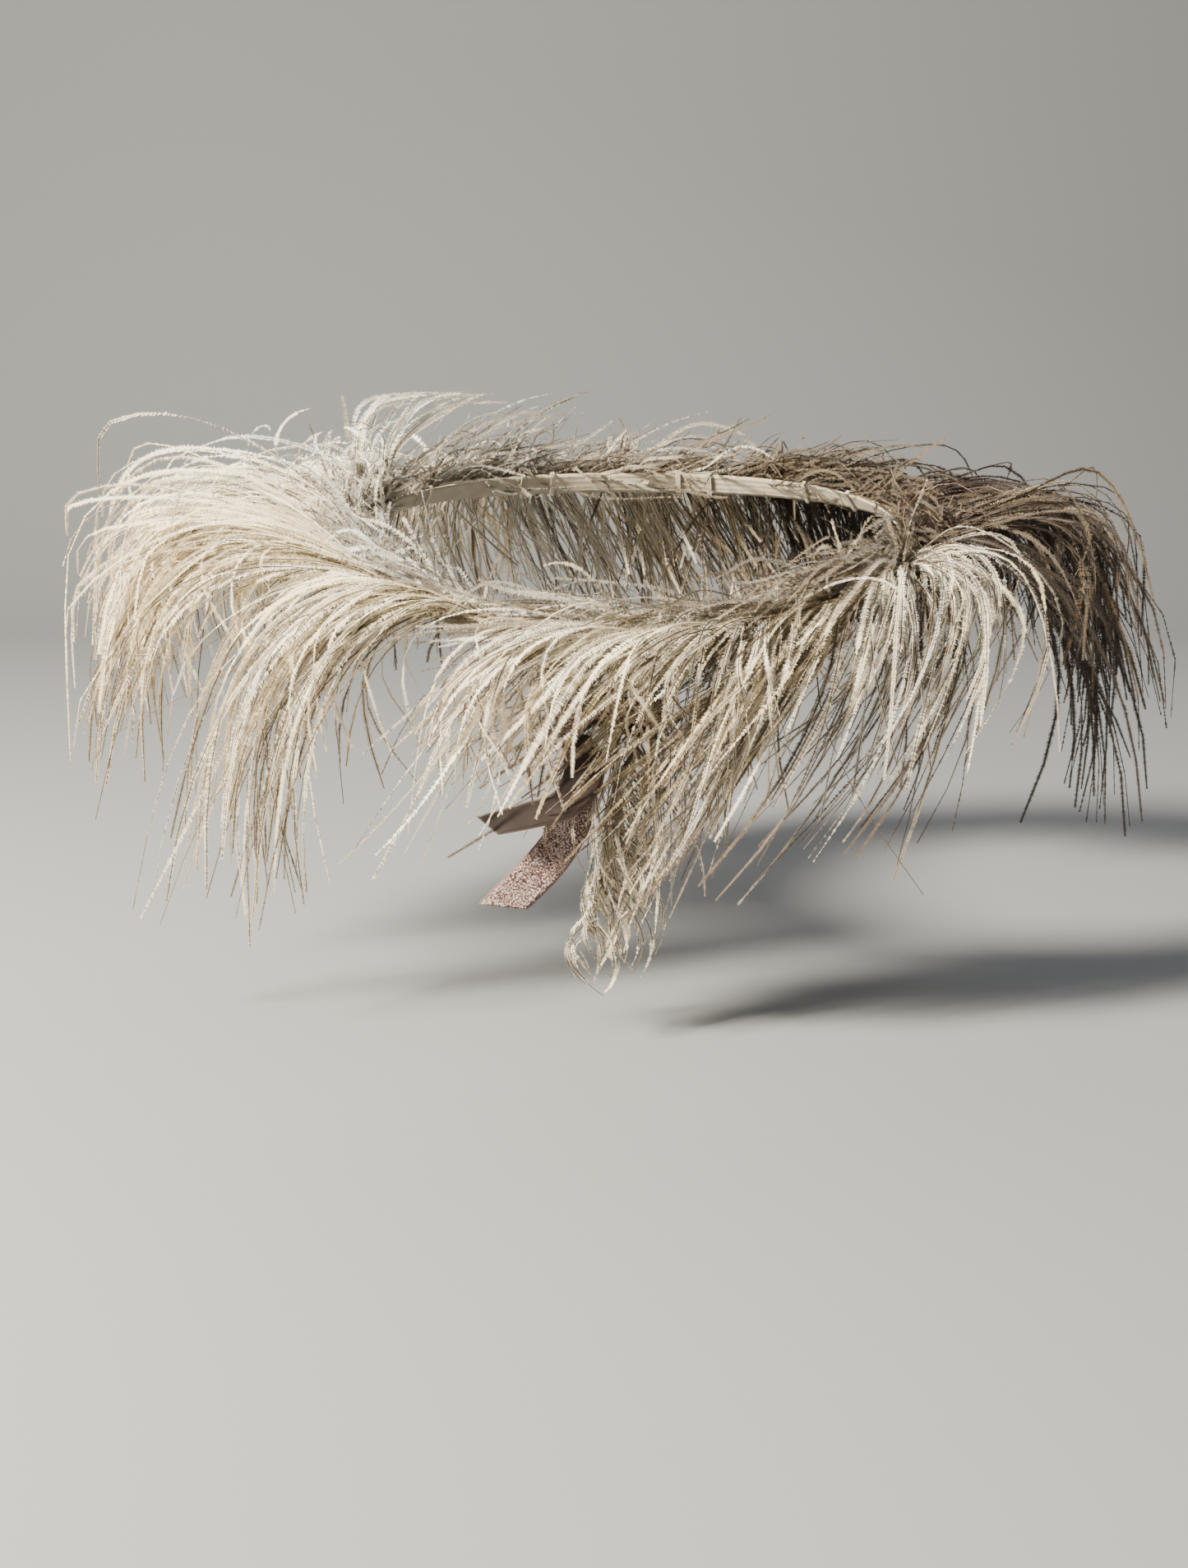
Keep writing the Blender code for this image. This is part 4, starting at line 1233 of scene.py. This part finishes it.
# %% [markdown]
# The ribbon is tied at the throat: two straps lead from the tape's ends to a knot, and from the
# knot come one loop and two tails.  One tail shows its satin back and is creased across, so that
# its end sticks out to the side; the other shows its pile.

# %% Ribbon
RIBBON_THICK = 0.8 * MM
CUT_START = 0.6             # share of a tail's length where its slanted cut begins to pull


def ribbon_grid(path, widths, directions, steps, cut=0.0, ripple=0.0):
    """Ribbon along a Bezier path; `cut` slants its far end, `ripple` waves it front to back."""
    u = np.linspace(0, 1, steps)
    v = np.linspace(-0.5, 0.5, 9)
    width = read_bezier([(w, 0, 0) for w in widths], u)[:, :1]
    side = unit(read_bezier(directions, u))
    centre = read_bezier(path, u)
    grid = centre[:, None] + side[:, None] * (v[None, :, None] * width[:, None])
    run = unit(np.gradient(centre, axis=0))
    slant = cut * (v[None, :] * 2) * np.clip((u[:, None] - CUT_START) / (1 - CUT_START), 0, 1)
    grid = grid + run[:, None] * slant[..., None]
    face = unit(np.cross(run, side))
    wave = ripple * np.sin(u[:, None] * 9 + v[None, :] * 2.6) * np.sin(np.pi * u)[:, None]
    return grid + face[:, None] * wave[..., None]


def ruled(left, right, steps):
    """Ribbon between two edge curves, each given by its Bezier control points."""
    u = np.linspace(0, 1, steps)
    v = np.linspace(0, 1, 9)[None, :, None]
    return read_bezier(left, u)[:, None] * (1 - v) + read_bezier(right, u)[:, None] * v


def creased_tail():
    """Down from the knot, over a crease pressed across it, then out to a slanted end."""
    top, bottom = (-0.0360, -0.1602, -0.1280), (-0.0264, -0.1680, -0.1407)
    down = ruled([(-0.0236, -0.1583, -0.0924), (-0.0250, -0.1590, -0.1060),
                  (-0.0300, -0.1598, -0.1170), top],
                 [(-0.0164, -0.1583, -0.0924), (-0.0020, -0.1600, -0.0990),
                  (0.0010, -0.1650, -0.1280), bottom], 36)
    out = ruled([top, (-0.0560, -0.1640, -0.1325), (-0.0804, -0.1660, -0.1396)],
                [bottom, (-0.0450, -0.1712, -0.1455), (-0.0676, -0.1720, -0.1490)], 30)
    return np.concatenate([down, out[1:]])


def make_ribbon(name, body, grid, materials):
    """Cloth for one ribbon piece, on its body in place of the imported one."""
    obj, length, area = strip(name + "_cloth", grid, RIBBON_THICK, materials)
    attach(obj, body)
    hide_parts(name)
    return obj


make_ribbon("ribbon_strap_right", "right_wing", ribbon_grid(
    [(-0.0115, -0.1228, -0.0335), (-0.0115, -0.1268, -0.0560), (-0.0150, -0.1340, -0.0610),
     (-0.0205, -0.1505, -0.0705)], [0.016, 0.016, 0.014, 0.009],
    [(1, 0.05, 0), (1, 0.05, 0), (1, 0, 0), (1, 0, 0.1)], 30), [SATIN])
make_ribbon("ribbon_strap_left", "left_wing", ribbon_grid(
    [(-0.0490, -0.1160, -0.0315), (-0.0490, -0.1200, -0.0540), (-0.0440, -0.1340, -0.0590),
     (-0.0345, -0.1490, -0.0690)], [0.014, 0.014, 0.012, 0.009],
    [(1, -0.25, 0), (1, -0.25, 0), (1, -0.2, -0.2), (1, -0.1, -0.6)], 30), [SATIN])
make_ribbon("ribbon_tail_dark", "tail_dark", creased_tail(), [SATIN, VELVET])
make_ribbon("ribbon_tail_velvet", "tail_velvet", ribbon_grid(
    [(-0.0270, -0.1545, -0.0925), (-0.0200, -0.1520, -0.1180), (-0.0060, -0.1525, -0.1450),
     (-0.0480, -0.1545, -0.1780), (-0.0660, -0.1560, -0.1970)],
    [0.008, 0.020, 0.025, 0.025, 0.023],
    [(1, 0, 0), (1, 0, 0.1), (0.85, 0, -0.25), (0.75, 0, -0.55), (0.72, 0, -0.62)], 70,
    cut=-0.008, ripple=0.8 * MM), [VELVET, SATIN])
make_ribbon("ribbon_loop", "right_wing", ribbon_grid(
    [(-0.0118, -0.1600, -0.0800), (0.0120, -0.1700, -0.0690), (0.0560, -0.1640, -0.0860),
     (0.0200, -0.1530, -0.0900), (-0.0118, -0.1550, -0.0840)],
    [0.007, 0.021, 0.025, 0.021, 0.007],
    [(0, 0, 1)] * 5, 50, ripple=0.6 * MM), [VELVET, SATIN])


# %% Knot
KNOT_CENTRE = np.array((-0.0240, -0.1580, -0.0820))
KNOT_HALF = np.array((0.0108, 0.0066, 0.0088))
# share of the knot's width and height, depth of the pleats, and where they start
KNOT_WRAP = (0.72, 1.0, 0.075, 0.6)
KNOT_CORE = (1.0, 0.70, 0.10, 2.2)


def make_knot():
    """The ribbon's knot: one pleated wrap round a gathered core that shows at both sides."""
    t = np.linspace(-1, 1, 27)
    parts = []
    for reach, girth, pleat, phase in (KNOT_WRAP, KNOT_CORE):
        radii = KNOT_HALF[2] * girth * (1 - 0.72 * t ** 6) * (1 + pleat * np.cos(t * 9 + phase))
        radii[[0, -1]] *= 0.35
        line = t[:, None] * np.array((KNOT_HALF[0] * reach, 0, -0.0012)) \
            + UP * (t * t)[:, None] * 0.8 * MM
        verts, faces, uv = sweep(line, radii, 26)
        verts = verts * (1, KNOT_HALF[1] / KNOT_HALF[2], 1) + KNOT_CENTRE
        parts.append((verts, faces, uv, 0))
    obj = join_pieces("ribbon_knot_wrap", parts, [VELVET])
    gap = np.full(len(obj.data.vertices), 8 * MM, np.float32)
    obj.data.attributes.new("edge_gap", "FLOAT", "POINT").data.foreach_set("value", gap)
    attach(obj, "right_wing")
    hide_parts("ribbon_knot")
    print("knot:", len(obj.data.polygons), "faces")


make_knot()


# %% [markdown]
# ## Stage
# A plain pale floor that curves up into a backdrop, and three soft lamps: a strong key from the
# front left, a weak fill from the right and a rim from behind.

# %% Stage and lights
FLOOR_GAP = 0.03


def stage():
    """A floor that turns up into a wall behind the boa along a quarter circle."""
    floor_z = cad_box[0][2] - FLOOR_GAP
    profile = [(-3.0, 0.0)] + [(1.6 + 0.9 * math.sin(a), 0.9 - 0.9 * math.cos(a))
                               for a in np.linspace(0, math.pi / 2, 14)] + [(2.5, 3.5)]
    verts = [(x, y, z + floor_z) for y, z in profile for x in (-4, 4)]
    faces = [(2 * k, 2 * k + 1, 2 * k + 3, 2 * k + 2) for k in range(len(profile) - 1)]
    mesh = bpy.data.meshes.new("backdrop")
    mesh.from_pydata(verts, [], faces)
    mesh.shade_smooth()
    obj = bpy.data.objects.new("backdrop", mesh)
    bpy.context.collection.objects.link(obj)
    mat, tree, out = new_material("backdrop_paper")
    paper = node(tree, "ShaderNodeBsdfPrincipled", Roughness=0.9)
    paper.inputs["Base Color"].default_value = linear("#7E8083")
    tree.links.new(paper.outputs[0], out.inputs["Surface"])
    mesh.materials.append(mat)


def lamp(name, place, aim, size, power, colour):
    """A round soft lamp that faces a point."""
    data = bpy.data.lights.new(name, "AREA")
    data.shape = "DISK"
    data.size = size
    data.energy = power
    data.color = linear(colour)[:3]
    obj = bpy.data.objects.new(name, data)
    obj.location = place
    obj.rotation_euler = (Vector(aim) - Vector(place)).to_track_quat("-Z", "Y").to_euler()
    bpy.context.collection.objects.link(obj)


stage()
lamp("key", (-1.7, -1.15, 1.4), (0, -0.05, -0.05), 0.5, 430, "#FFF6E1")
lamp("fill", (1.9, -1.2, 0.7), (0, -0.05, -0.05), 1.4, 4, "#E8F0FF")
lamp("rim", (0.6, 1.4, 1.4), (0, 0, 0), 1.2, 18, "#FFFFFF")
world = bpy.data.worlds.new("room")
world.use_nodes = True
world.node_tree.nodes["Background"].inputs["Color"].default_value = linear("#DDE2E8")
world.node_tree.nodes["Background"].inputs["Strength"].default_value = 0.16
bpy.context.scene.world = world
print("stage: floor and three lamps")

# %% [markdown]
# ## Finish
# The barbule was only a stamp, so it goes.

# %% Finish
bpy.data.objects.remove(BARBULE)
